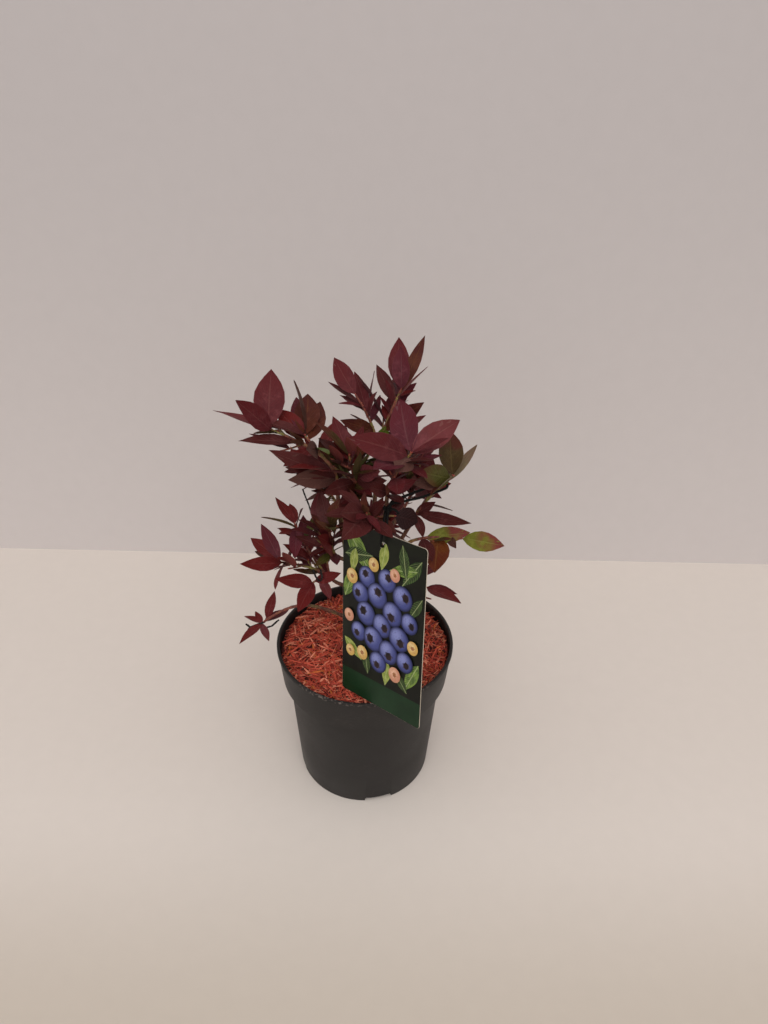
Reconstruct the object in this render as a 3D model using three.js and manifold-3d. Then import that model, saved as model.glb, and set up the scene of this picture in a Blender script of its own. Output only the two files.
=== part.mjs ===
// A young blueberry bush in its nursery pot, with a picture card tied to its stems.
// Millimetres, +Z up. The origin is the middle of the pot's flat underside, and the card is on the front, -Y.

import * as THREE from 'three';
import { mergeVertices } from 'three/addons/utils/BufferGeometryUtils.js';
import Module from 'manifold-3d';

const wasm = await Module();
wasm.setup();

// ---------------------------------------------------------------- driving dimensions

const gap = 0.3; // between pieces that touch
const sink = 0.8; // how far a leaf stalk or side twig starts inside what bears it

const pot = {
  height: 159, rimRadius: 85, lipWidth: 3, lipHeight: 3.2,
  collarBottom: 120.5, collarRadius: 80.7, collarTopRadius: 84,
  wallTop: 119.2, wallTopRadius: 74.8, footRadius: 66.7, wall: 1.3,
  footWidth: 8, floorUnderside: 5.2, floorTop: 7, bossRadius: 20,
  notchWidth: 27, notchHeight: 5, notches: 4, firstNotch: -76, // degrees round from +X
  drainHoles: 8, drainRadius: 4.5, drainCircle: 40, sides: 48,
};

const fill = { mixTop: 138, mulchEdge: 149.2, mulchTop: 152.2, seatRadius: 20, bump: 1.1 };

const card = {
  width: 89.4, height: 164, thickness: 0.7, corner: 3, holeRadius: 2.5, holeDrop: 11,
  centre: [15.7, -72.2, 242.2], yaw: -42, pitch: -9.2, roll: -7.8, // degrees
};

// The tie is one loop: through the card's hole, up to the stems, round the right-hand stem and back.
const tie = {
  radius: 0.8, sides: 6, steps: 56,
  route: [
    [16.1, -57.4, 311.6], [14, -59.6, 313.5], [13.9, -58.8, 319], [15, -55.8, 325], [16, -49, 332],
    [19, -40, 338], [32, -32.5, 338.5], [46, -26, 338.5], [58, -18, 338.8], [63.8, -15.4, 339.8],
    [67.4, -12.4, 340.6], [66.2, -8.6, 341.6], [61, -9, 342.2], [48, -19, 342.2], [32, -30.5, 342],
    [21.5, -38, 341], [18.6, -46, 334], [18.2, -51.5, 326], [18.4, -53.6, 319], [18.2, -54.9, 313.5],
  ],
};

// The short trunk widens by `flare` at its foot, and the widening dies away over `fade`.
const trunk = {
  foot: [0, 6, 152.5], top: [-2, 4, 188], bend: [1.5, 0, 0], radii: [6.2, 4.8], flare: 3.2, fade: 7,
};

// Shares of the leaf's length, but for the stalk's width in millimetres.
const leafShape = {
  width: 0.41, droop: 0.1, fold: 0.2, thickness: 0.014, widest: 0.4, shoulder: 0.72, stalkWidth: 1.3,
};

// `turn` is the angle from one leaf or twig to the next round the stem, and `lean` the angle out from the
// stem at its foot and at its tip. A twig or leaf that doesn't fit is tried again `step` further round.
const growth = {
  turn: 137.5, spacing: 9.5, lean: [70, 28], length: [30, 42], twigLength: [16, 30], twigLean: 55,
  tries: 7, step: 50,
};

// One entry for each bough and the mass of foliage on it. The bough leaves its parent limb at `from` and ends
// at `tip`; the mass's stem goes on to `to`. The mass keeps to the ellipsoid of `centre` and `reach`. A shoot
// leaves the stem at `at`. A leaf is [place along its twig, heading, rise, length, turn about its midrib], in
// degrees and millimetres, with heading 0 towards +X and 90 towards +Y. `twigs` side twigs and more leaves
// are added by rule, within the share `keep` of that reach.
const masses = [
  {
    name: 'left_high', from: ['trunk', 0.92], tip: [-24, -5, 338], bend: [-10, -2, 14], radii: [2.8, 1.7],
    to: [-80, 6, 381], centre: [-70, 0, 384], reach: [70, 72, 60], keep: 0.5, twigs: 2,
    leaves: [
      [1, 95, 35, 58, 10], [0.97, 225, 48, 50, -75], [0.93, 170, 20, 56, 0], [0.93, 215, 15, 24, 20],
      [0.72, 200, 15, 52, 0], [0.12, 210, 30, 66, -70], [0.2, 225, 28, 56, 0], [0.62, 220, -20, 28, -50],
      [0.05, 230, 30, 38, -80], [0.07, 230, 25, 54, -70],
    ],
    shoots: [{
      at: 0.35, to: [-50, 3, 377],
      leaves: [
        [0.9, 135, 15, 44, -40], [1, 105, 17, 50, 0], [1, 88, 20, 50, 0], [0.85, 78, 25, 46, 20],
        [0.95, 100, 38, 54, 70], [0.5, 255, 30, 30, -75], [0.6, 310, 15, 24, -20],
      ],
    }],
  },
  {
    name: 'top', from: ['trunk', 0.97], tip: [9, 27, 340], bend: [3, 10, 10], radii: [2.8, 1.7],
    to: [28, 40, 403], centre: [14, 52, 400], reach: [62, 66, 62], keep: 0.66, twigs: 2,
    leaves: [
      [1, 100, 40, 52, -10], [0.97, 55, 45, 56, 30], [0.9, 335, 55, 44, 0], [0.85, 115, 25, 46, -30],
      [0.6, 125, 35, 50, 60], [0.5, 325, 45, 50, 80], [0.22, 20, 40, 50, 0],
    ],
    shoots: [{
      at: 0.2, to: [-10, 38, 398],
      leaves: [
        [1, 130, 30, 42, -40], [0.86, 150, 20, 38, 0], [0.82, 195, 20, 22, 0], [0.68, 105, 30, 50, -10],
        [0.66, 85, 35, 48, -70], [0.64, 285, 70, 34, 80], [0.55, 70, 30, 30, 0], [0.45, 180, 35, 24, 20],
        [0.4, 220, 30, 40, -80], [0.1, 350, 65, 22, 80],
      ],
    }],
  },
  {
    name: 'front', from: ['trunk', 0.9], tip: [18, -25, 338], bend: [6, -8, 10], radii: [2.8, 1.7],
    to: [36, -26, 379], centre: [30, -34, 380], reach: [68, 72, 60], keep: 0.7, twigs: 2,
    leaves: [
      [1, 105, 25, 60, -20], [0.97, 42, 20, 57, 40], [0.95, 220, 35, 66, -80], [0.93, 245, 0, 24, -30],
      [0.8, 236, 24, 46, 0], [0.8, 320, 30, 34, 0], [0.45, 112, 30, 40, 0], [0.1, 235, 35, 28, -80],
      [0.12, 335, 35, 30, 70], [0.04, 295, 20, 30, 0],
    ],
    shoots: [],
  },
  {
    name: 'centre', from: ['left_high', 0.45], tip: [-8, -4, 326], bend: [6, 0, 8], radii: [2, 1.5],
    to: [-14, -1, 362], centre: [-14, -2, 362], reach: [48, 56, 60], keep: 0.8, twigs: 2,
    leaves: [
      [1, 120, 40, 38, 0], [0.9, 150, 18, 36, 0], [0.8, 275, 45, 34, 70], [0.5, 232, 38, 36, 0],
      [0.6, 320, 32, 30, 0], [0.9, 60, 45, 32, 0], [0.06, 255, -5, 36, -30], [0.35, 230, 15, 38, -60],
      [0.2, 295, 20, 34, 0], [0.03, 255, 40, 30, -80], [0.03, 300, 25, 26, 60], [0.05, 320, 40, 34, 80],
      [0.04, 250, 20, 32, -60],
    ],
    shoots: [{
      at: 0.3, to: [6, 4, 366],
      leaves: [
        [0.3, 310, 35, 30, 80], [0.12, 320, 20, 36, 70], [0.05, 300, 0, 26, 40], [0.12, 295, 75, 38, 0],
        [0.3, 325, 70, 30, 0],
      ],
    }],
  },
  {
    name: 'right', from: ['front', 0.35], tip: [42, -14, 312], bend: [6, 2, 4], radii: [2.1, 1.5],
    to: [72, -9, 349], centre: [64, -8, 346], reach: [62, 56, 54], keep: 0.5, twigs: 0,
    leaves: [
      [1, 97, 30, 46, -10], [0.96, 220, 25, 38, -65], [0.92, 210, 10, 36, -60], [1, 232, 0, 34, 40],
      [0.85, 50, 20, 52, 40], [0.35, 340, 5, 26, -30], [0.08, 315, 15, 58, 60], [0.02, 335, 50, 26, 80],
      [0.02, 285, -10, 28, 0],
    ],
    shoots: [{ at: 0.25, to: [62, 12, 334], leaves: [[0.3, 105, -5, 28, -30]] }],
  },
  {
    name: 'right_low', from: ['right', 0.4], tip: [34, -26, 290], bend: [2, -6, 4], radii: [1.9, 1.4],
    to: [82, -20, 294], centre: [78, -28, 288], reach: [58, 44, 36], keep: 0.55, twigs: 1,
    leaves: [
      [0.5, 10, 5, 40, 50], [1, 15, -15, 44, 60], [0.85, 285, 5, 18, 30], [0.7, 265, -20, 36, 0],
      [0.45, 280, 0, 32, 0],
    ],
    shoots: [],
  },
  {
    name: 'left_low', from: ['left_high', 0.2], tip: [-30, -6, 236], bend: [-6, -2, 0], radii: [2.1, 1.5],
    to: [-76, -6, 254], centre: [-68, 0, 266], reach: [64, 64, 68], keep: 0.62, twigs: 2,
    leaves: [
      [1, 120, 25, 46, -20], [1, 138, 18, 40, 0], [0.97, 220, 20, 44, -60], [0.9, 85, 15, 26, -70],
      [0.95, 255, -15, 30, 60],
    ],
    shoots: [
      {
        at: 0.18, to: [-62, 0, 292],
        leaves: [
          [1, 125, 20, 34, 0], [1, 102, 12, 28, 0], [0.97, 82, 10, 26, -70], [0.95, 210, 40, 38, 10],
          [0.9, 215, 15, 20, 0], [0.75, 52, 36, 50, 0], [0.95, 275, -12, 36, 0],
        ],
      },
      {
        at: 0.1, to: [-47, -13, 237],
        leaves: [[1, 220, 35, 42, -70], [0.95, 250, -5, 36, -20], [0.6, 300, -15, 26, 0], [0.9, 350, 30, 28, 60]],
      },
      { at: 0.06, to: [-33, 2, 276], leaves: [] },
    ],
  },
  {
    name: 'middle', from: ['left_high', 0.4], tip: [-26, -12, 268], bend: [-3, -3, 2], radii: [2, 1.5],
    to: [-30, -16, 302], centre: [-32, -12, 286], reach: [42, 42, 52], keep: 0.96, twigs: 3,
    leaves: [
      [0.9, 115, 45, 36, -20], [1, 330, 75, 32, 80], [0.5, 255, 45, 34, -80], [0.3, 245, 60, 34, -80],
      [0.15, 255, 45, 30, -80], [0.05, 275, 15, 24, 0],
    ],
    shoots: [{ at: 0.15, to: [-46, -8, 284], leaves: [] }],
  },
  {
    name: 'left_foot', from: ['trunk', 0.45], tip: [-54, -8, 206], bend: [-6, 0, 12], radii: [1.9, 1.4],
    to: [-96, -14, 188], centre: [-94, -14, 190], reach: [42, 46, 30], keep: 0.74, twigs: 0,
    leaves: [
      [0.9, 85, 10, 38, 0], [0.95, 48, -10, 34, 0], [1, 245, 8, 34, 0], [1, 290, 0, 24, 0],
      [0.98, 165, 10, 20, 0], [1, 120, 15, 16, 0],
    ],
    shoots: [],
  },
  {
    name: 'front_low', from: ['front', 0.62], tip: [8, -36, 318], bend: [-2, -3, 2], radii: [1.7, 1.4],
    to: [0, -50, 340], centre: [4, -58, 334], reach: [56, 56, 46], keep: 0.74, twigs: 1,
    leaves: [
      [1, 245, 25, 40, -60], [0.9, 255, 10, 50, -30], [0.7, 200, 14, 38, 0], [0.6, 300, 55, 30, 80],
    ],
    shoots: [{ at: 0.3, to: [24, -44, 332], leaves: [[1, 35, -30, 32, 70], [0.7, 55, 15, 28, 0]] }],
  },
  {
    name: 'right_foot', from: ['trunk', 0.55], tip: [30, -2, 212], bend: [4, 0, -3], radii: [1.8, 1.3],
    to: [56, 0, 224], centre: [50, 6, 224], reach: [58, 52, 34], keep: 0.66, twigs: 1,
    leaves: [[1, 320, 8, 40, 0], [0.6, 110, 20, 34, 0]],
    shoots: [{ at: 0.4, to: [46, 26, 232], leaves: [] }],
  },
  {
    name: 'back_left', from: ['top', 0.45], tip: [-26, 42, 285], bend: [-2, 4, 2], radii: [2.1, 1.5],
    to: [-44, 64, 322], centre: [-38, 72, 312], reach: [54, 56, 52], keep: 0.8, twigs: 2,
    leaves: [],
    shoots: [{ at: 0.3, to: [-20, 78, 316], leaves: [] }, { at: 0.5, to: [-62, 50, 310], leaves: [] }],
  },
  {
    name: 'back_right', from: ['top', 0.4], tip: [34, 44, 282], bend: [4, 2, 0], radii: [2.1, 1.5],
    to: [48, 66, 318], centre: [46, 72, 308], reach: [52, 56, 50], keep: 0.8, twigs: 2,
    leaves: [],
    shoots: [{ at: 0.3, to: [62, 50, 306], leaves: [] }, { at: 0.45, to: [28, 84, 314], leaves: [] }],
  },
  {
    name: 'back_low', from: ['trunk', 0.7], tip: [4, 56, 222], bend: [0, 6, -4], radii: [2, 1.4],
    to: [8, 88, 246], centre: [6, 86, 238], reach: [60, 46, 42], keep: 0.8, twigs: 1,
    leaves: [],
    shoots: [{ at: 0.3, to: [-24, 84, 238], leaves: [] }, { at: 0.4, to: [34, 82, 240], leaves: [] }],
  },
];

const colours = {
  plastic: 0x3b3836, soil: 0x2c211b, mulch: 0xa5472f, bark: 0x6b4a38,
  leaf: {
    left_high: 0x6a2b33, top: 0x6e3038, front: 0x6f2f3a, centre: 0x5a2a2c, right: 0x5c4a33,
    right_low: 0x66502f, left_low: 0x6f2228, middle: 0x4d1f26, left_foot: 0x6b1f26, front_low: 0x4c2028,
    right_foot: 0x74303a, back_left: 0x5d2c30, back_right: 0x5e3330, back_low: 0x543034,
  },
  card: 0x2b3a2a, cord: 0x141414,
};

// ---------------------------------------------------------------- solids

const vec = (p) => new THREE.Vector3(...p);
const radians = THREE.MathUtils.degToRad;
const mix = THREE.MathUtils.lerp;

function solidOf(geometry) {
  const merged = geometry.clone();
  for (const name of Object.keys(merged.attributes)) if (name !== 'position') merged.deleteAttribute(name);
  const closed = mergeVertices(merged, 1e-4);
  const faces = closed.index.array;
  const kept = [];
  for (let i = 0; i < faces.length; i += 3) {
    const [a, b, c] = faces.slice(i, i + 3);
    if (a !== b && b !== c && c !== a) kept.push(a, b, c);
  }
  const mesh = new wasm.Mesh({
    numProp: 3,
    vertProperties: Float32Array.from(closed.attributes.position.array),
    triVerts: Uint32Array.from(kept),
  });
  return new wasm.Manifold(mesh);
}

function geometryOf(solid) {
  const mesh = solid.getMesh();
  const geometry = new THREE.BufferGeometry();
  geometry.setAttribute('position', new THREE.BufferAttribute(Float32Array.from(mesh.vertProperties), 3));
  geometry.setIndex(new THREE.BufferAttribute(Uint32Array.from(mesh.triVerts), 1));
  geometry.computeVertexNormals();
  return geometry;
}

// The largest piece of a solid: a loose scrap or a sealed hollow is left behind.
function largest(solid) {
  return solid.decompose().reduce((best, piece) => (piece.volume() > best.volume() ? piece : best));
}

// A closed body through rings of points, each ring with the same count, ended by flat caps or by a tip.
function loft(rings, tip = null) {
  const count = rings[0].length;
  const points = rings.flat();
  const faces = [];
  for (let i = 0; i + 1 < rings.length; i += 1) {
    for (let j = 0; j < count; j += 1) {
      const a = i * count + j;
      const b = i * count + ((j + 1) % count);
      faces.push(a, b, b + count, a, b + count, a + count);
    }
  }
  for (let j = 1; j + 1 < count; j += 1) faces.push(0, j + 1, j);
  const last = (rings.length - 1) * count;
  if (tip) {
    points.push(tip);
    for (let j = 0; j < count; j += 1) faces.push(last + j, last + ((j + 1) % count), points.length - 1);
  } else {
    for (let j = 1; j + 1 < count; j += 1) faces.push(last, last + j, last + j + 1);
  }
  return bodyOf(points, faces);
}

function bodyOf(points, faces) {
  const geometry = new THREE.BufferGeometry().setFromPoints(points);
  geometry.setIndex(faces);
  return solidOf(geometry);
}

// ---------------------------------------------------------------- limbs

class Limb {
  constructor(start, end, control, radii, flare = 0) {
    this.curve = new THREE.QuadraticBezierCurve3(start, control, end);
    this.radii = radii;
    this.flare = flare;
    this.length = this.curve.getLength();
  }

  at(t) {
    return this.curve.getPoint(t);
  }

  direction(t) {
    return this.curve.getTangent(t).normalize();
  }

  radius(t) {
    return mix(this.radii[0], this.radii[1], t) + this.flare * Math.exp((-t * this.length) / trunk.fade);
  }

  // A tapering tube of rings square to the curve, `extra` fatter all round.
  solid(sides, steps, extra = 0) {
    const rings = [];
    let side = squareTo(this.direction(0));
    for (let i = 0; i <= steps; i += 1) {
      const t = i / steps;
      const along = this.direction(t);
      side = side.clone().addScaledVector(along, -side.dot(along)).normalize();
      const across = along.clone().cross(side);
      rings.push(circle(this.at(t), side, across, this.radius(t) + extra, sides));
    }
    return loft(rings);
  }
}

// The unit vector square to a direction that points up most; for an upright direction, the one to the front.
function squareTo(direction) {
  const up = Math.abs(direction.z) > 0.985 ? new THREE.Vector3(0, -1, 0.3) : new THREE.Vector3(0, 0, 1);
  return up.addScaledVector(direction, -up.dot(direction)).normalize();
}

function circle(centre, side, across, radius, sides) {
  return Array.from({ length: sides }, (_, j) => {
    const angle = (2 * Math.PI * j) / sides;
    return centre.clone()
      .addScaledVector(side, radius * Math.cos(angle))
      .addScaledVector(across, radius * Math.sin(angle));
  });
}

function boughLimb(mass, limbs) {
  const parent = limbs[mass.from[0]];
  const start = parent.at(mass.from[1]);
  const tip = vec(mass.tip);
  const control = start.clone().add(tip).multiplyScalar(0.5).add(vec(mass.bend));
  return new Limb(start, tip, control, mass.radii);
}

// A twig that leaves in one direction and bends over to its end.
function twigLimb(start, direction, end, radii) {
  const control = start.clone().addScaledVector(direction, 0.4 * start.distanceTo(end));
  return new Limb(start, end, control, radii);
}

// ---------------------------------------------------------------- leaves

// Half the leaf's width at a place along it, as a share of the full half width.
function outline(u) {
  if (u <= 0.05) return 0;
  return Math.sin(Math.PI * ((u - 0.05) / 0.95) ** 0.85) ** 0.85;
}

class Leaf {
  constructor(root, direction, length, turn) {
    this.root = root.clone().addScaledVector(direction, -sink);
    this.direction = direction;
    this.length = length;
    this.face = squareTo(direction).applyAxisAngle(direction, radians(turn));
    this.side = direction.clone().cross(this.face);
  }

  // The middle of the blade at a place along it; it droops towards its tip.
  rib(u) {
    return this.root.clone().addScaledVector(this.direction, this.length * u)
      .addScaledVector(this.face, -leafShape.droop * this.length * u * u);
  }

  // A keeled blade: each section has two edges and the rib below them.
  solid(from, grow) {
    const { width, fold, thickness, stalkWidth, widest, shoulder } = leafShape;
    const rings = [from, widest, shoulder].map((u) => {
      const half = Math.max(0.5 * stalkWidth, 0.5 * width * this.length * outline(u)) + grow;
      const lift = fold * half + grow;
      const rib = this.rib(u);
      return [
        rib.clone().addScaledVector(this.side, half).addScaledVector(this.face, lift),
        rib.clone().addScaledVector(this.face, -thickness * this.length - grow),
        rib.clone().addScaledVector(this.side, -half).addScaledVector(this.face, lift),
      ];
    });
    return loft(rings, this.rib(1 + grow / this.length));
  }
}

function heading(azimuth, rise) {
  const a = radians(azimuth);
  const r = radians(rise);
  return new THREE.Vector3(Math.cos(a) * Math.cos(r), Math.sin(a) * Math.cos(r), Math.sin(r));
}

// ---------------------------------------------------------------- growth

// A seeded row of numbers from 0 to 1, the same on every run.
function seeded(seed) {
  let state = seed;
  return () => {
    state = (state * 16807) % 2147483647;
    return state / 2147483647;
  };
}

function boxesMeet(a, b) {
  return [0, 1, 2].every((i) => a.min[i] <= b.max[i] && b.min[i] <= a.max[i]);
}

function crosses(body, things) {
  const box = body.boundingBox();
  return things.some((thing) => boxesMeet(box, thing.box) && !body.intersect(thing.body).isEmpty());
}

const asThing = (body) => ({ body, box: body.boundingBox() });

class Plant {
  constructor(obstacles) {
    this.limbs = {};
    this.solids = {};
    this.fixed = obstacles.map(asThing); // what no twig or leaf may touch
    this.groups = masses.map((mass, i) => ({
      mass, rand: seeded(101 + 37 * i), twigs: [], twigBodies: [], leafBodies: [], blades: [],
    }));
  }

  growLimbs() {
    const { foot, top, bend, radii, flare } = trunk;
    const control = vec(foot).add(vec(top)).multiplyScalar(0.5).add(vec(bend));
    const stem = new Limb(vec(foot), vec(top), control, radii, flare);
    this.limbs.trunk = stem;
    const below = new THREE.BoxGeometry(60, 60, 20).translate(...foot).translate(0, 0, -10);
    this.solids.trunk = stem.solid(10, 5).subtract(solidOf(below));
    const cleared = [stem.solid(10, 5, gap)];
    for (const mass of masses) {
      const limb = boughLimb(mass, this.limbs);
      this.limbs[mass.name] = limb;
      const body = cleared.reduce((rest, other) => rest.subtract(other), limb.solid(6, 6));
      this.solids[`bough_${mass.name}`] = largest(body);
      cleared.push(limb.solid(6, 6, gap));
    }
    this.fixed.push(...cleared.map(asThing));
  }

  growStems() {
    for (const group of this.groups) {
      const { mass } = group;
      const bough = this.limbs[mass.name];
      const way = bough.direction(1);
      const start = bough.at(1).addScaledVector(way, 1.5 * gap);
      const stem = twigLimb(start, way, vec(mass.to), [0.95 * mass.radii[1], 1]);
      this.addTwig(group, stem, mass.leaves);
      for (const shoot of mass.shoots) {
        const root = stem.at(shoot.at);
        const end = vec(shoot.to);
        const lead = end.clone().sub(root).normalize().add(stem.direction(shoot.at)).normalize();
        this.addTwig(group, twigLimb(root, lead, end, [0.8 * stem.radius(shoot.at), 0.8]), shoot.leaves);
      }
    }
  }

  addTwig(group, limb, leaves) {
    group.twigs.push({ limb, leaves });
    group.twigBodies.push(asThing(limb.solid(group.twigs.length > 1 ? 3 : 4, 4)));
  }

  // Everything but a mass's own twigs and leaves.
  othersOf(group) {
    const others = this.groups.filter((other) => other !== group);
    return [...this.fixed, ...others.flatMap((other) => [...other.twigBodies, ...other.leafBodies])];
  }

  inside(mass, points, limit) {
    return points.every((p) => {
      const share = mass.centre.map((c, i) => (p.getComponent(i) - c) / mass.reach[i]);
      return Math.hypot(...share) <= limit;
    });
  }

  // A placed leaf may fuse with its own mass; one grown by rule keeps its blade clear of it.
  addLeaf(group, leaf, placed = false) {
    const limit = placed ? 1 : group.mass.keep;
    if (!this.inside(group.mass, [leaf.rib(0.4), leaf.rib(0.7), leaf.rib(1)], limit)) return false;
    const blade = leaf.solid(0.3, gap);
    if (!placed && (crosses(blade, group.blades) || crosses(blade, group.twigBodies))) return false;
    if (crosses(leaf.solid(0, gap), this.othersOf(group))) return false;
    group.blades.push(asThing(blade));
    group.leafBodies.push(asThing(leaf.solid(0, 0)));
    return true;
  }

  growPlacedLeaves() {
    for (const group of this.groups) {
      for (const { limb, leaves } of group.twigs) {
        for (const [along, azimuth, rise, length, turn] of leaves) {
          this.addLeaf(group, new Leaf(limb.at(along), heading(azimuth, rise), length, turn), true);
        }
      }
    }
  }

  // Side twigs stand round the stem at the growth angle, and lean out from it.
  growSideTwigs() {
    for (const group of this.groups) {
      const { mass, rand } = group;
      const stem = group.twigs[0].limb;
      const first = 360 * rand();
      for (let i = 0; i < mass.twigs; i += 1) {
        const t = 0.25 + (0.6 * (i + 0.5)) / mass.twigs;
        const length = mix(...growth.twigLength, rand());
        for (let tried = 0; tried < growth.tries; tried += 1) {
          const azimuth = first + growth.turn * i + growth.step * tried;
          const way = leaning(stem.direction(t), azimuth, growth.twigLean);
          const end = stem.at(t).addScaledVector(way, length).add(new THREE.Vector3(0, 0, 0.15 * length));
          const limb = twigLimb(stem.at(t), way, end, [0.7 * stem.radius(t), 0.7]);
          if (way.z > -0.3 && this.fits(group, limb)) {
            this.addTwig(group, limb, []);
            break;
          }
        }
      }
    }
  }

  fits(group, limb) {
    if (!this.inside(group.mass, [limb.at(1)], group.mass.keep)) return false;
    const body = limb.solid(4, 4, gap);
    const own = [...group.blades, ...group.twigBodies.slice(1)];
    return !crosses(body, own) && !crosses(body, this.othersOf(group));
  }

  // Leaves stand round each twig at the growth angle, wide at its foot and close at its tip.
  growLeaves() {
    for (const group of this.groups) {
      for (const { limb, leaves } of group.twigs) {
        const count = Math.max(1, Math.round(limb.length / growth.spacing) - leaves.length);
        const first = 360 * group.rand();
        for (let i = 0; i < count; i += 1) {
          this.growLeaf(group, limb, 1 - (0.8 * i) / count, first + growth.turn * i);
        }
      }
    }
  }

  growLeaf(group, limb, t, azimuth) {
    const lean = mix(...growth.lean, t);
    const length = mix(...growth.length, group.rand()) * (0.8 + 0.2 * t);
    const turn = 50 * (group.rand() - 0.5);
    for (let tried = 0; tried < growth.tries; tried += 1) {
      const way = leaning(limb.direction(t), azimuth + growth.step * tried, lean);
      if (way.z > -0.45 && this.addLeaf(group, new Leaf(limb.at(t), way, length, turn))) return;
    }
  }

  fuse() {
    for (const { mass, twigBodies, leafBodies } of this.groups) {
      const parts = [...twigBodies, ...leafBodies].map((thing) => thing.body);
      const whole = parts.reduce((joined, part) => joined.add(part));
      this.solids[`leaves_${mass.name}`] = largest(whole.asOriginal().simplify(0.06));
    }
  }
}

// A direction that leans out from an axis, at an angle round it.
function leaning(axis, azimuth, lean) {
  const out = axis.clone().cross(new THREE.Vector3(0, 0, 1));
  if (out.length() < 0.15) out.set(1, 0, 0).addScaledVector(axis, -axis.x);
  out.normalize().applyAxisAngle(axis, radians(azimuth));
  return axis.clone().multiplyScalar(Math.cos(radians(lean))).addScaledVector(out, Math.sin(radians(lean)));
}

// ---------------------------------------------------------------- pot and what fills it

function turned(profile) {
  const points = profile.map(([r, z]) => new THREE.Vector2(r, z));
  return new THREE.LatheGeometry(points, pot.sides).rotateX(Math.PI / 2);
}

const wallRadius = (z) => mix(pot.footRadius, pot.wallTopRadius, z / pot.wallTop);
const collarTop = pot.height - pot.lipHeight;
const collarRadius = (z) =>
  mix(pot.collarRadius, pot.collarTopRadius, (z - pot.collarBottom) / (collarTop - pot.collarBottom));

function potSolid() {
  const { wall, floorUnderside: under, floorTop: floor, height, rimRadius, lipWidth } = pot;
  const shelf = pot.collarBottom + wall;
  const shell = solidOf(turned([
    [0, 0], [pot.bossRadius, 0], [pot.bossRadius + 2, under], [pot.footRadius - pot.footWidth - 1.5, under],
    [pot.footRadius - pot.footWidth, 0], [pot.footRadius, 0], [pot.wallTopRadius, pot.wallTop],
    [pot.collarRadius, pot.collarBottom], [pot.collarTopRadius, collarTop - 0.4],
    [rimRadius, collarTop], [rimRadius, height - 0.7], [rimRadius - 0.7, height],
    [rimRadius - lipWidth + 0.5, height], [rimRadius - lipWidth, height - 0.8],
    [pot.collarTopRadius - wall - 0.3, collarTop - 1], [pot.collarRadius - wall, shelf],
    [wallRadius(shelf - 1) - wall, shelf - 1], [wallRadius(floor) - wall, floor], [0, floor],
  ]));
  let body = shell;
  for (let i = 0; i < pot.notches; i += 1) {
    const notch = new THREE.BoxGeometry(pot.footWidth + 12, pot.notchWidth, 2 * pot.notchHeight)
      .translate(pot.footRadius - 2, 0, 0).rotateZ(radians(pot.firstNotch + (360 * i) / pot.notches));
    body = body.subtract(solidOf(notch));
  }
  for (let i = 0; i < pot.drainHoles; i += 1) {
    const hole = new THREE.CylinderGeometry(pot.drainRadius, pot.drainRadius, 8, 16).rotateX(Math.PI / 2)
      .translate(pot.drainCircle, 0, floor).rotateZ(radians((360 * (i + 0.5)) / pot.drainHoles));
    body = body.subtract(solidOf(hole));
  }
  return body;
}

function mixSolid() {
  const inner = (z) => wallRadius(z) - pot.wall - gap;
  const shelf = pot.collarBottom + pot.wall + gap;
  const bottom = pot.floorTop + gap;
  return solidOf(turned([
    [0, bottom], [inner(bottom), bottom], [inner(shelf), shelf], [pot.collarRadius - pot.wall - gap, shelf],
    [collarRadius(fill.mixTop) - pot.wall - gap, fill.mixTop], [0, fill.mixTop],
  ]));
}

// Shredded wood: a low heap with a rough top and a flat seat round the stem's foot.
function mulchSolid() {
  const bottom = fill.mixTop + gap;
  const rand = seeded(77);
  const edge = collarRadius(fill.mulchEdge) - pot.wall - 2 * gap;
  const steps = 8;
  const top = Array.from({ length: steps + 1 }, (_, i) => {
    const share = i / steps;
    const r = mix(edge, fill.seatRadius, share);
    return [r, mix(fill.mulchEdge, fill.mulchTop, Math.sin(share * 0.5 * Math.PI))];
  });
  const foot = [collarRadius(bottom) - pot.wall - 2 * gap, bottom];
  const heap = turned([[0, bottom], foot, ...top, [0, fill.mulchTop]]);
  heap.deleteAttribute('normal');
  heap.deleteAttribute('uv');
  const merged = mergeVertices(heap, 1e-4);
  const place = merged.getAttribute('position');
  for (let i = 0; i < place.count; i += 1) {
    const r = Math.hypot(place.getX(i), place.getY(i));
    const rough = r > fill.seatRadius + 2 && r < edge - 2 && place.getZ(i) > bottom + 1;
    if (rough) place.setZ(i, place.getZ(i) + 2 * fill.bump * (rand() - 0.5));
  }
  return solidOf(merged);
}

// ---------------------------------------------------------------- card and tie

function cardGeometry() {
  const { width, height, corner, thickness } = card;
  const [x, y] = [width / 2, height / 2];
  const edge = new THREE.Shape();
  edge.moveTo(-x + corner, -y);
  for (const [cx, cy, start] of [[x, -y, -90], [x, y, 0], [-x, y, 90], [-x, -y, 180]]) {
    const centre = [cx - Math.sign(cx) * corner, cy - Math.sign(cy) * corner];
    edge.absarc(...centre, corner, radians(start), radians(start + 90), false);
  }
  edge.closePath();
  edge.holes.push(new THREE.Path().absarc(0, y - card.holeDrop, card.holeRadius, 0, 2 * Math.PI, true));
  const sheet = new THREE.ExtrudeGeometry(edge, { depth: thickness, bevelEnabled: false, curveSegments: 4 });
  return sheet.translate(0, 0, -thickness / 2).rotateX(Math.PI / 2);
}

function placeCard(mesh) {
  mesh.position.set(...card.centre);
  mesh.rotation.set(radians(card.pitch), radians(card.roll), radians(card.yaw), 'ZXY');
  mesh.updateMatrixWorld();
}

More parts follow.
